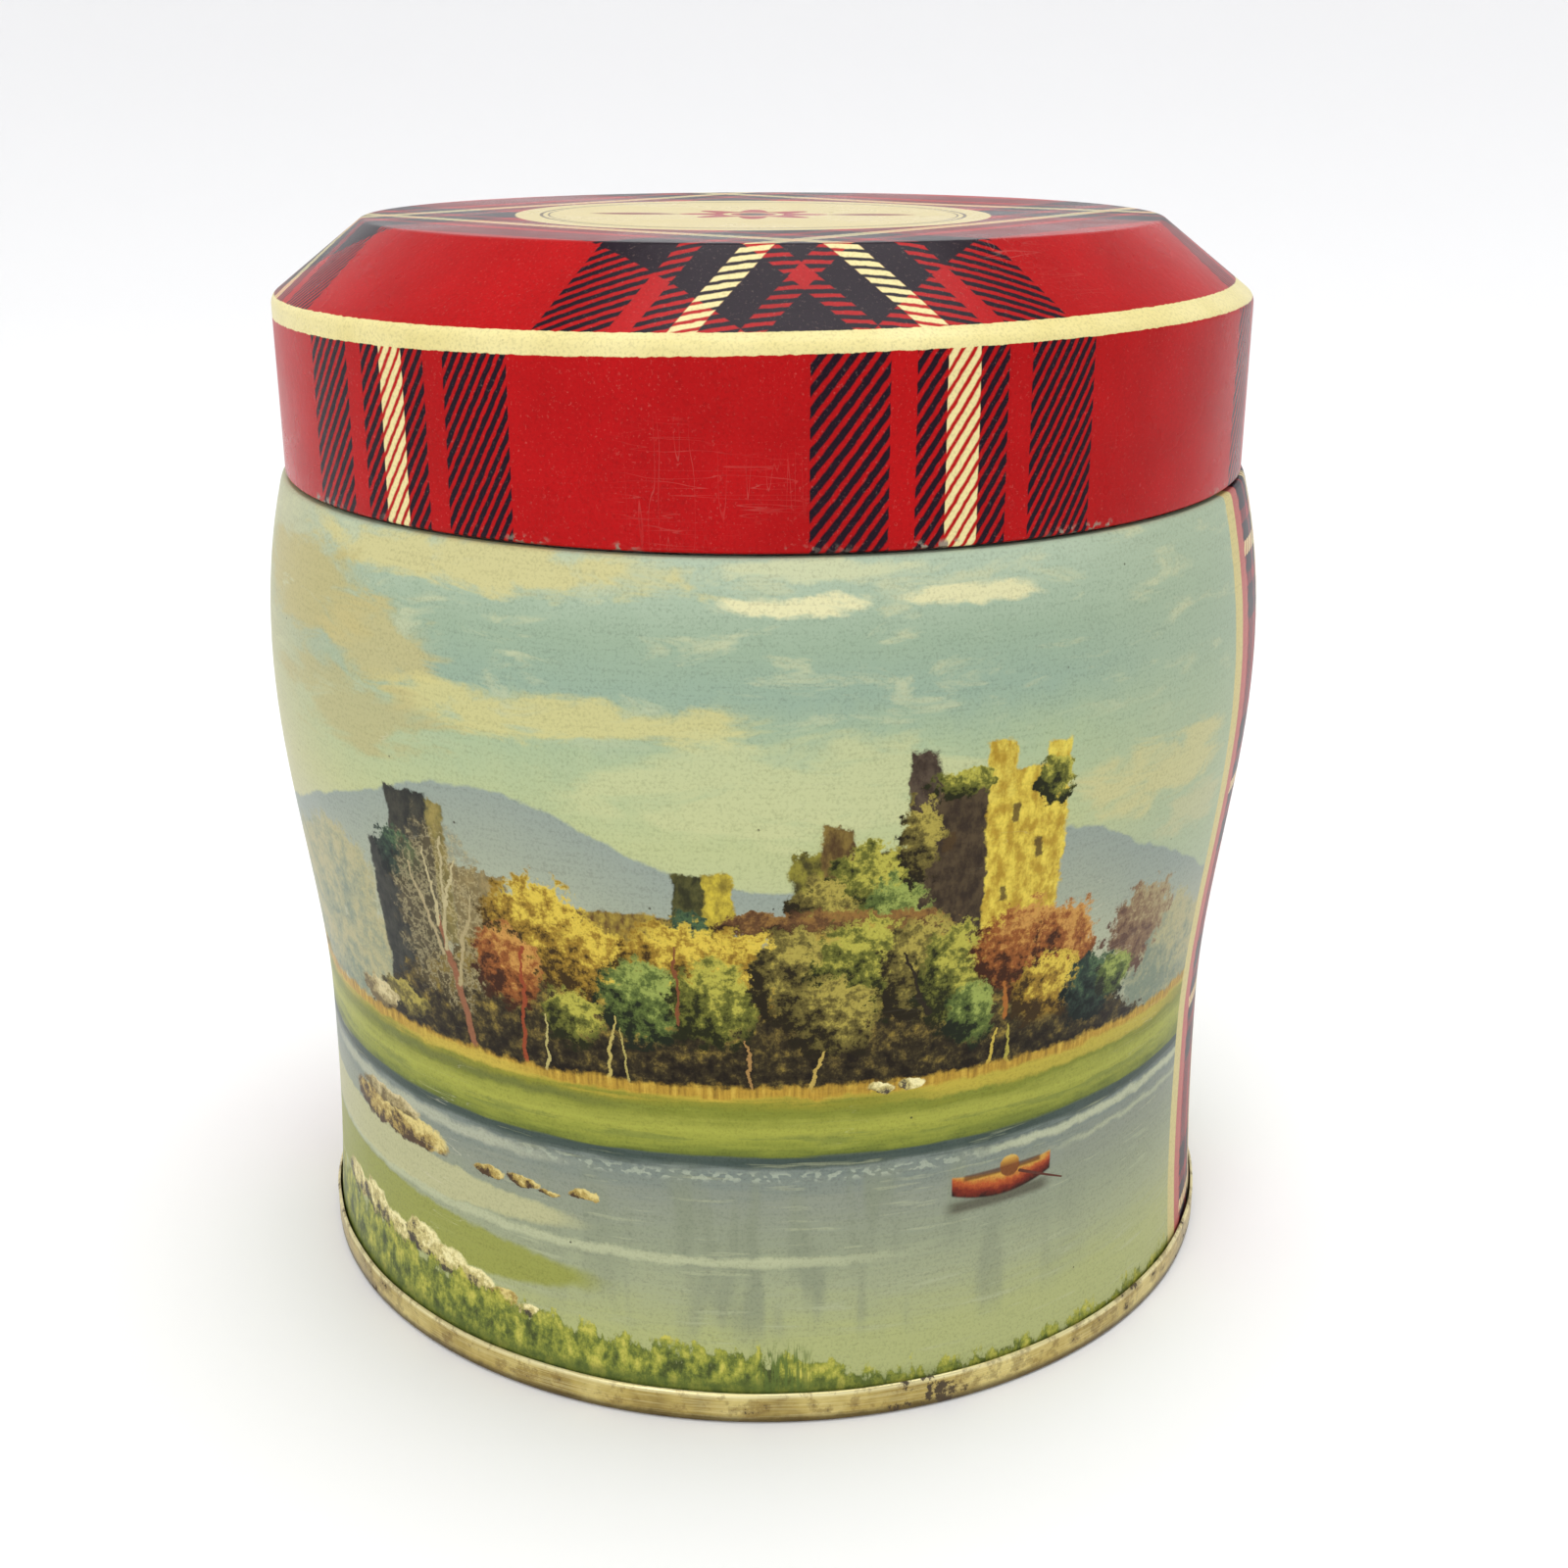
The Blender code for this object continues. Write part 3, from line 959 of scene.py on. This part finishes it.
def crown_group():
    """A ragged round patch, shaded from its lower left to its upper right."""
    sockets = numbers("X", "Z", "Leaf", "Centre X", "Centre Z", "Half width", "Half height")
    sockets += numbers("Ragged", "Contrast") + colours("Shade", "Middle", "Light")
    paint, fields = canvas_group("crown", sockets)
    canvas, x, z, leaf, centre_x, centre_z, half_width, half_height = fields[:8]
    ragged, contrast, shade, middle, light = fields[8:]
    across = (x - centre_x) / half_width
    up = (z - centre_z) / half_height
    rough = leaf * ragged
    inside = paint.smooth(across * across + up * up + rough, 1.20, 0.80)
    lit = rough * contrast + across * 0.26 + up * 0.40
    colour = paint.blend(shade, middle, paint.smooth(lit, -0.42, 0.02))
    colour = paint.blend(colour, light, paint.smooth(lit, -0.02, 0.42))
    return end_group(paint, Canvas=paint.blend(canvas, colour, inside))


def stroke_group():
    """A straight brush stroke that narrows to half its width."""
    sockets = numbers("X", "Z", "Foot X", "Foot Z", "Run X", "Run Z", "Width") + colours("Colour")
    paint, fields = canvas_group("stroke", sockets)
    canvas, x, z, foot_x, foot_z, run_x, run_z, width, colour = fields
    from_x = x - foot_x
    from_z = z - foot_z
    along = (from_x * run_x + from_z * run_z) / (run_x * run_x + run_z * run_z)
    along = paint.largest(paint.smallest(along, 1.0), 0.0)
    off_x = from_x - run_x * along
    off_z = from_z - run_z * along
    half = width * (0.5 - along * 0.25)
    inside = paint.smooth(paint.distance(off_x, off_z) / half, 1.25, 0.75)
    return end_group(paint, Canvas=paint.blend(canvas, colour, inside))


def wall_group():
    """An upright block of masonry with a broken top."""
    sockets = numbers("X", "Z", "Leaf", "Stone", "Left", "Right", "Foot", "Top", "Broken")
    paint, fields = canvas_group("wall", sockets + colours("Shade", "Light"))
    canvas, x, z, leaf, stone, left, right, foot, top, broken, shade, light = fields
    edge = 0.0035
    across = paint.smooth(x - left, -edge, edge) * paint.smooth(right - x, -edge, edge)
    above = paint.smooth(z - foot, -edge, edge)
    below = paint.smooth(top - z + leaf * broken, -edge, edge)
    colour = paint.blend(shade, light, stone)
    return end_group(paint, Canvas=paint.blend(canvas, colour, across * above * below))


class Landscape:
    """Paints a lakeside view on one canvas colour, layer over layer, back to front."""

    def __init__(self, paint, x, z, back):
        self.paint = paint
        self.crown = crown_group()
        self.stroke = stroke_group()
        self.wall = wall_group()
        flat = (x + back * 11.3, z)
        _, brush_x, brush_z, self.brush = paint.noise(flat, 17.0, 5.0, 0.62)
        self.raw_x = x
        self.raw_z = z
        self.x = x + (brush_x - 0.5) * 0.034
        self.z = z + (brush_z - 0.5) * 0.026
        self.leaves = [leaf - 0.5 for leaf in paint.noise(flat, 30.0, 4.0, 0.72)[1:]]
        self.canvas = None
        self.layers = 0

    def lay(self, colour, share):
        if isinstance(colour, str):
            colour = srgb(colour)
        self.canvas = self.paint.blend(self.canvas, colour, share)

    def use(self, group, inputs):
        """Adds one group to the canvas.

        Its numbers differ by a hair from those of other layers, because the renderer would merge equal
        steps of different layers and then hold every layer's values at once.
        """
        self.layers += 1
        inputs = {"Canvas": self.canvas, "X": self.x, "Z": self.z, **inputs}
        for key, value in inputs.items():
            if isinstance(value, float):
                inputs[key] = value + self.layers * 1e-6
        node = self.paint.node("ShaderNodeGroup", inputs, node_tree=group)
        self.canvas = Field(self.paint, node.outputs[0])

    def strokes(self, across, up, detail, roughness=0.5):
        """Brush marks with that many to a lid radius across and up."""
        return self.paint.value_noise((self.raw_x * across, self.raw_z * up), 1.0, detail, roughness)

    def oval(self, centre, height, half_width, half_height):
        """1 on the edge of an oval and less inside it."""
        across = (self.x - math.radians(centre)) / math.radians(half_width)
        up = (self.z - height) / half_height
        return across * across + up * up

    def level_streak(self, along, height, half, soft, colour, strength):
        """A level stretch of colour, where the share along the picture lets it show."""
        self.lay(colour, along * self.paint.near(self.z, height, half, soft) * strength)

    def spots(self, rows, ragged):
        for number, (centre, height, half_width, half_height, kind) in enumerate(rows):
            shade, middle, light = [srgb(code) for code in PALETTES[kind]]
            self.use(self.crown, {
                "Leaf": self.leaves[number % 3],
                "Centre X": math.radians(centre), "Centre Z": height,
                "Half width": math.radians(half_width), "Half height": half_height,
                "Shade": shade, "Middle": middle, "Light": light,
                "Ragged": ragged, "Contrast": 2.3 / ragged,
            })

    def sky(self):
        paint = self.paint
        self.canvas = paint.ramp((self.z - 1.0) / 0.72 + (self.brush - 0.5) * 0.10, [
            (0.00, "b4b98c"), (0.30, "b6bd8a"), (0.52, "a6b690"),
            (0.68, "92a893"), (0.80, "97ab92"), (1.00, "afbfa6"),
        ])
        self.lay("bdb88c", paint.smooth(self.x, math.radians(-38.0), math.radians(-72.0)) * 0.75)
        self.lay("a2b296", paint.smooth(self.x, math.radians(26.0), math.radians(50.0)) * 0.70)
        drawn = (self.raw_x * 2.2, self.raw_z * 7.0)
        puffs = paint.value_noise(drawn, 2.6, 5.0, 0.62, 0.35)
        billows = (puffs - 0.5) * 3.6
        for *place, colour, strength in CLOUDS:
            self.lay(colour, paint.smooth(self.oval(*place) + billows, 1.25, 0.25) * strength)
        wisps = paint.smooth(puffs, 0.54, 0.72) * paint.smooth(self.z, 1.30, 1.52)
        self.lay("c9caa0", wisps * 0.55)

    def hills(self):
        paint = self.paint
        depth = paint.curve(self.raw_x, HILL_LINE) - self.raw_z + (self.brush - 0.5) * 0.03
        slope = paint.ramp(depth * 4.0, [(0.0, "8c9790"), (0.5, "98a08f"), (1.0, "a9ae96")])
        hill = paint.smooth(depth, -0.004, 0.006)
        self.lay(slope, hill * 0.92)
        haze = paint.smooth(self.raw_z, 1.05, 0.80)
        self.lay("b3b290", haze * hill * 0.5)

    def trees_and_ruin(self):
        paint = self.paint
        self.spots(FAR_TREES, 1.6)
        stone = paint.smooth(self.strokes(44.0, 26.0, 4.0, 0.62), 0.30, 0.70)
        fine_x = self.x + self.leaves[0] * 0.018
        fine_z = self.z + self.leaves[1] * 0.014
        for left, right, foot, top, broken, shade, light in WALLS:
            self.use(self.wall, {
                "X": fine_x, "Z": fine_z, "Leaf": self.leaves[2], "Stone": stone,
                "Left": math.radians(left), "Right": math.radians(right), "Foot": foot, "Top": top,
                "Broken": broken, "Shade": srgb(shade), "Light": srgb(light),
            })
        for centre, height, half_width, half_height in WINDOWS:
            opening = paint.near(fine_x, math.radians(centre), math.radians(half_width), 0.003)
            self.lay("4a3820", opening * paint.near(fine_z, height, half_height, 0.003) * 0.85)
        self.spots(IVY, 3.6)
        self.spots(BACK_CROWNS, 2.8)
        depth = paint.curve(self.raw_x, TREE_LINE) - self.z + self.leaves[1] * 0.10
        mottle = self.leaves[2] * 1.5 + (self.z - 0.86) * 1.5 + 0.42
        mass = paint.ramp(mottle, [
            (0.10, "1e170f"), (0.34, "38301c"), (0.50, "5e5028"), (0.66, "8a7634"), (0.85, "b39a42"),
        ])
        self.lay(mass, paint.smooth(depth, -0.006, 0.010))
        self.bare_tree(-35.5, 1.00, 7.0, 0.19)
        self.spots(CROWNS, 2.8)
        for foot_x, foot_z, head_x, head_z, width, colour in TRUNKS:
            self.use(self.stroke, {
                "Foot X": math.radians(foot_x), "Foot Z": foot_z,
                "Run X": math.radians(head_x - foot_x), "Run Z": head_z - foot_z,
                "Width": width, "Colour": srgb(colour),
            })

    def bare_tree(self, *place):
        """A leafless crown: a thin veil of twigs over what is behind it."""
        inside = self.paint.smooth(self.oval(*place) + self.leaves[0] * 2.4, 1.2, 0.7)
        twigs = self.paint.near(self.leaves[2], 0.0, 0.035, 0.030)
        self.lay("6d5f3c", inside * 0.40)
        self.lay("c2b688", inside * twigs * 0.42)

    def bank(self):
        paint = self.paint
        self.blades = self.strokes(90.0, 10.0, 2.0, 0.6)
        self.streaks = self.strokes(5.0, 60.0, 3.0, 0.6)
        reeds = paint.smooth(self.z + self.leaves[0] * 0.030, 0.732, 0.718)
        self.lay(paint.ramp(self.blades, [(0.25, "8a6c2a"), (0.5, "b08c34"), (0.75, "c8a846")]), reeds)
        lawn = paint.ramp((self.z - 0.56) / 0.15 + (self.streaks - 0.5) * 0.30, [
            (0.0, "4c5828"), (0.12, "6a7430"), (0.28, "8e943c"), (0.45, "a2a446"),
            (0.58, "949840"), (0.72, "7c8230"), (0.86, "8a8830"), (1.0, "c0a640"),
        ])
        self.lay(lawn, paint.smooth(self.z, 0.706, 0.698))
        for left, right, fade, *streak in (
            (0.30, 1.0, 0.12, 0.690, 0.014, 0.006, "b8a742", 0.85),
            (-0.75, -0.45, 0.08, 0.706, 0.012, 0.005, "c0aa46", 0.8),
            (-0.95, -0.30, 0.15, 0.672, 0.010, 0.008, "5b6238", 0.55),
        ):
            self.level_streak(paint.between(self.raw_x, left, right, fade), *streak)
        self.level_streak(paint.smooth(self.streaks, 0.45, 0.6), 0.612, 0.010, 0.008, "5d6c36", 0.5)

    def water(self):
        paint = self.paint
        level = paint.ramp(self.z / 0.58 + (self.streaks - 0.5) * 0.14, [
            (0.0, "adb278"), (0.30, "abb078"), (0.50, "9ea482"), (0.65, "92997f"),
            (0.82, "8a9080"), (0.93, "78827a"), (1.0, "424c44"),
        ])
        edge = self.raw_z + (self.streaks - 0.5) * 0.012
        wet = paint.smooth(edge, 0.578, 0.570)
        self.lay(level, wet)
        self.lay("3c4a44", wet * paint.near(edge, 0.566, 0.012, 0.008) * 0.8)
        columns = self.strokes(11.0, 2.2, 2.0)
        mirrored = paint.near(self.raw_z, 0.36, 0.17, 0.05) * paint.near(self.raw_x, 0.1, 0.45, 0.3)
        self.lay("848b74", paint.smooth(columns, 0.46, 0.66) * mirrored * 0.7)
        self.lay("b7bb95", paint.smooth(self.streaks, 0.60, 0.74) * wet * 0.35)
        middle = paint.between(self.raw_x, -1.3, 0.2, 0.2)
        self.level_streak(middle, 0.348, 0.010, 0.006, "bcc09a", 0.7)
        marks = paint.smooth(self.strokes(52.0, 80.0, 1.0), 0.50, 0.60)
        ripples = paint.near(self.raw_z, 0.533, 0.010, 0.006) * marks
        self.lay("aeb6a0", ripples * paint.between(self.raw_x, -0.5, 0.45, 0.15) * 0.6)
        calm_left = paint.between(self.raw_x, -1.2, -0.45, 0.15)
        self.level_streak(calm_left, 0.528, 0.012, 0.008, "b8baa0", 0.7)
        self.level_streak(paint.smooth(self.raw_x, 0.36, 0.55), 0.534, 0.009, 0.006, "c0c4a2", 0.75)
        self.level_streak(paint.smooth(self.raw_x, 0.55, 0.75), 0.492, 0.005, 0.006, "b4b898", 0.7)

    def boat(self):
        """A plain moored boat with a covered load."""
        paint = self.paint
        across = (self.raw_x - math.radians(28.3)) / math.radians(6.8)
        sheer = across * across
        shade = paint.near(self.raw_z, 0.424, 0.012, 0.008) * paint.smooth(abs(across + 0.05), 1.15, 0.8)
        self.lay("4a4436", shade * 0.75)
        above_keel = self.raw_z - (sheer * 0.022 + 0.430)
        above_gunwale = self.raw_z - (sheer * 0.010 + 0.482)
        hull = paint.smooth(above_keel, -0.003, 0.003) * paint.smooth(above_gunwale, 0.003, -0.003)
        hull = hull * paint.smooth(abs(across), 1.0, 0.96)
        share = above_keel / 0.055 + self.leaves[0] * 0.6
        colour = paint.ramp(share, [(0.0, "2a1612"), (0.30, "7a2c1c"), (0.55, "b0552a"), (0.80, "c89a44")])
        self.lay(colour, hull)
        inside = paint.near(self.raw_z, 0.484, 0.006, 0.003) * paint.smooth(abs(across), 0.80, 0.72)
        self.lay("5a3420", inside * 0.8)
        load_x = (across - 0.12) / 0.20
        load_z = (self.raw_z - 0.488) / 0.024
        load = paint.smooth(load_x * load_x + load_z * load_z + self.leaves[1] * 0.8, 1.1, 0.8)
        self.lay(paint.ramp(load_z, [(0.0, "7c4a26"), (0.5, "b98a3c"), (0.9, "cfae5c")]), load)
        self.use(self.stroke, {
            "X": self.raw_x, "Z": self.raw_z, "Foot X": math.radians(30.5), "Foot Z": 0.470,
            "Run X": math.radians(6.4), "Run Z": -0.050, "Width": 0.007, "Colour": srgb("5a3226"),
        })

    def near_shore(self):
        paint = self.paint
        self.lay("bab88a", paint.smooth(self.oval(-70.0, 0.395, 50.0, 0.050), 1.08, 0.80) * 0.85)
        self.lay("92963e", paint.smooth(self.oval(-64.0, 0.270, 46.0, 0.066), 1.08, 0.80) * 0.85)
        self.spots(STONES, 1.2)
        clumps = self.strokes(28.0, 14.0, 5.0, 0.65)
        depth = paint.curve(self.raw_x, SHORE_LINE) - self.raw_z + (clumps - 0.5) * 0.14
        share = self.leaves[0] * 0.7 + clumps * 0.9 + 0.02
        grass = paint.ramp(share, [(0.26, "3c4620"), (0.40, "636f2c"), (0.54, "969a3c"), (0.70, "c4bc54")])
        self.lay(grass, paint.smooth(depth, -0.004, 0.012) * 0.95)
        foot = paint.smooth(self.raw_z, 0.10, 0.075) * paint.smooth(self.raw_x, 0.6, -0.1)
        self.lay("56642f", foot * 0.7)
        tips = paint.smooth(self.raw_z + (self.blades - 0.5) * 0.16, 0.19, 0.15)
        clump = paint.near(self.raw_x, 0.04, 0.05, 0.03) * tips
        self.lay("5e6f34", clump * paint.smooth(self.blades, 0.45, 0.55) * 0.9)


def side_strip(paint, x, z, canvas):
    """The check strip between the two pictures, with its cream and pink borders."""
    side = paint.turned(x - STRIP_CENTRE, -math.pi / 2, math.pi / 2)
    degrees = abs(side) * math.degrees(1.0)
    upright, cream = stripe_group(paint, abs(side) * 0.9, STRIP_UPRIGHTS, 0.0015)
    level_place = abs(paint.turned(z - 0.10, -STRIP_PERIOD / 2, STRIP_PERIOD / 2))
    level, level_cream = stripe_group(paint, level_place, STRIP_LEVELS, 0.0015)
    hatch = paint.lines(z - side * 1.4, 0.030, 0.58)
    ink = paint.largest(upright * level, paint.largest(upright, level) * hatch)
    colour = paint.lay(srgb("a3272a"), "241a26", ink)
    dashes = paint.lines(z - side * 1.4, 0.034, 0.62) * paint.largest(cream, level_cream)
    colour = paint.lay(colour, CREAM, dashes)
    for edge, code in zip(STRIP_EDGES, ("b9615a", "cdbf7e")):
        colour = paint.lay(colour, code, paint.smooth(degrees, edge - 0.15, edge + 0.15))
    return paint.blend(canvas, colour, paint.smooth(degrees, BORDER + 0.05, BORDER - 0.25))


def body_print():
    material, paint, shader = new_finish("body_print")
    flat_x, flat_y, z, angle = paint.place()
    place = (flat_x, flat_y, z)
    x = paint.turned(angle, PANEL_CENTRE - math.pi / 2, PANEL_CENTRE + math.pi / 2)
    back = paint.math("GREATER_THAN", abs(angle - x), 1.0)
    view = Landscape(paint, x, z, back)
    view.sky()
    view.hills()
    view.trees_and_ruin()
    view.bank()
    view.water()
    view.boat()
    view.near_shore()
    colour = side_strip(paint, x + (view.brush - 0.5) * 0.004, z, view.canvas)

    grain = paint.value_noise(place, 180.0, 1.0, 0.7)
    drawn = (x * 3.0, z * 60.0)
    brushing = paint.value_noise(drawn, 2.4, 2.0, 0.6)
    level = grain * 0.62 + brushing * 0.24 + 0.55
    colour = paint.tint(colour, level)
    specks = paint.smooth(paint.cells(place, 16.0), 0.055, 0.03)
    rare = paint.smooth(paint.value_noise(place, 8.0, 0.0), 0.58, 0.62)
    colour = paint.lay(colour, "3a352a", specks * rare * 0.8)
    lines = scratches(paint, place, (1.0, 1.0, 14.0), 4.0, 0.005)
    colour = paint.lay(colour, "cfcbb0", lines * 0.35)

    connect(paint, shader, "Base Color", colour)
    smear = paint.value_noise(place, 4.0, 4.0, 0.6)
    connect(paint, shader, "Roughness", smear * 0.16 + lines * 0.1 + 0.27)
    shader.inputs["Specular IOR Level"].default_value = PRINT_SPECULAR
    bump(paint, shader, paint.value_noise(place, 60.0, 3.0, 0.6), 0.04 * MM, 0.5)
    return material


# ---------------------------------------- metal finishes

def gold_lacquer():
    material, paint, shader = new_finish("gold_lacquer")
    x, y, z, angle = paint.place()
    place = (x, y, z)
    cloud = paint.value_noise(place, 7.0, 4.0, 0.65)
    colour = paint.ramp(cloud, [(0.28, "8a753e"), (0.5, "bea860"), (0.72, "e0d088")])
    drawn = (angle * 2.0, z * 120.0)
    rubbed = paint.value_noise(drawn, 3.0, 3.0, 0.6)
    # Pale streaks where the lacquer is rubbed (wear), and a painted highlight along the top edge of the
    # seam
    painted_crest_highlight = paint.smooth(z, SEAM_HEIGHT - 0.012, SEAM_HEIGHT - 0.004)
    colour = paint.lay(colour, "ece2ae", paint.smooth(rubbed, 0.48, 0.62) * 0.30 + painted_crest_highlight * 0.7)
    rust_field = paint.value_noise(place, 24.0, 5.0, 0.7)
    hot_spot = paint.near(angle, math.radians(18.5), math.radians(3.0), math.radians(4.0)) * 0.13
    spread = paint.value_noise(place, 2.6, 1.0) * 0.25
    rust = paint.smooth(rust_field + hot_spot + spread, 0.735, 0.80)
    stain = paint.smooth(rust_field + spread, 0.60, 0.72)
    colour = paint.lay(colour, "6e5228", stain * 0.45)
    rust_colour = paint.ramp(cloud, [(0.3, "1e1610"), (0.6, "3c2a1a")])
    colour = paint.blend(colour, rust_colour, rust * 0.9)
    # Darker towards the foot of the seam: painted shade where it meets the floor, with some brown staining
    foot = paint.smooth(z + (rust_field - 0.5) * 0.02, 0.024, 0.008)
    colour = paint.lay(colour, "3e2e1a", foot * 0.8)

    connect(paint, shader, "Base Color", colour)
    connect(paint, shader, "Metallic", (1.0 - rust) * 0.72)
    connect(paint, shader, "Roughness", rust * 0.35 + cloud * 0.20 + 0.24)
    bump(paint, shader, rust_field, 0.10 * MM, 0.6)
    return material


def tinplate():
    material, paint, shader = new_finish("tinplate")
    x, y, z, _ = paint.place()
    place = (x, y, z)
    cloud = paint.value_noise(place, 3.0, 4.0, 0.6)
    spangle = paint.cells(place, 9.0)
    colour = paint.ramp(cloud * 0.8 + spangle * 0.25, [(0.25, "8f8d88"), (0.5, "b0aea8"), (0.8, "c6c3bb")])
    stain = paint.smooth(paint.value_noise(place, 8.0, 5.0, 0.7), 0.60, 0.72)
    colour = paint.lay(colour, "8a7252", stain * 0.45)
    connect(paint, shader, "Base Color", colour)
    shader.inputs["Metallic"].default_value = 0.85
    connect(paint, shader, "Roughness", cloud * 0.20 + stain * 0.2 + 0.26)
    bump(paint, shader, spangle, 0.02 * MM, 0.4)
    return material


# ---------------------------------------- studio

def make_floor():
    """A pale sweep: a flat disc that curves up into a wall all round."""
    bend = FLOOR_WALL - FLOOR_FLAT
    points = [(FLOOR_MIDDLE, 0.0)]
    points += arc((FLOOR_FLAT, bend), bend, -math.pi / 2, 0.0, 16)
    points.append((FLOOR_WALL, FLOOR_TOP))
    vertices = []
    for radius, height in points:
        for index in range(FLOOR_TURNS):
            angle = 2 * math.pi * index / FLOOR_TURNS
            vertices.append((radius * math.cos(angle), radius * math.sin(angle), height))
    faces = []
    for low in range(0, len(vertices) - FLOOR_TURNS, FLOOR_TURNS):
        high = low + FLOOR_TURNS
        for index in range(FLOOR_TURNS):
            after = (index + 1) % FLOOR_TURNS
            faces.append((low + index, high + index, high + after, low + after))
    faces.append(tuple(range(FLOOR_TURNS)))
    mesh = bpy.data.meshes.new("floor")
    mesh.from_pydata(vertices, [], faces)
    mesh.shade_smooth()
    floor = bpy.data.objects.new("floor", mesh)
    bpy.context.scene.collection.objects.link(floor)
    material, paint, shader = new_finish("pale_paper")
    x, y, _, _ = paint.place()
    reach = paint.distance(x, y)
    colour = paint.ramp(reach / FLOOR_FADE, [(0.25, "fafafa"), (1.0, "efeff0")])
    connect(paint, shader, "Base Color", colour)
    shader.inputs["Roughness"].default_value = 0.7
    mesh.materials.append(material)


def make_light(name, place, aim, size, power):
    light = bpy.data.lights.new(name, "AREA")
    light.shape = "DISK"
    light.size = size
    light.energy = power
    lamp = bpy.data.objects.new(name, light)
    lamp.location = place
    direction = np.subtract(aim, place)
    lamp.rotation_euler = (
        math.atan2(math.hypot(direction[0], direction[1]), -direction[2]),
        0.0,
        math.atan2(direction[0], -direction[1]) + math.pi,
    )
    bpy.context.scene.collection.objects.link(lamp)


def make_world():
    world = bpy.data.worlds.new("studio")
    world.use_nodes = True
    background = world.node_tree.nodes["Background"]
    background.inputs["Color"].default_value = (1.0, 1.0, 1.0, 1.0)
    background.inputs["Strength"].default_value = WORLD_STRENGTH
    bpy.context.scene.world = world


def make_camera():
    data = bpy.data.cameras.new("camera")
    data.lens = CAMERA_LENS
    data.sensor_width = CAMERA_SENSOR
    data.clip_start = 0.01
    data.clip_end = 20.0
    camera = bpy.data.objects.new("camera", data)
    camera.location = [share * R for share in CAMERA_PLACE]
    camera.rotation_euler = (CAMERA_TILT, 0.0, 0.0)
    bpy.context.scene.collection.objects.link(camera)
    bpy.context.scene.camera = camera


bpy.context.scene.view_settings.view_transform = "Standard"
make_camera()
make_world()
make_floor()
for light_row in LIGHTS:
    make_light(*light_row)

plate = tinplate()
lacquer = gold_lacquer()
lid = make_lid(lid_print(), plate)
body = make_body(body_print(), plate)
base = make_base(lacquer, lacquer)

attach(lid, "lid")
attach(body, "tin")
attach(base, "tin")
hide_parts("lid_shell")
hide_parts("body_wall")
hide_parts("base_end")
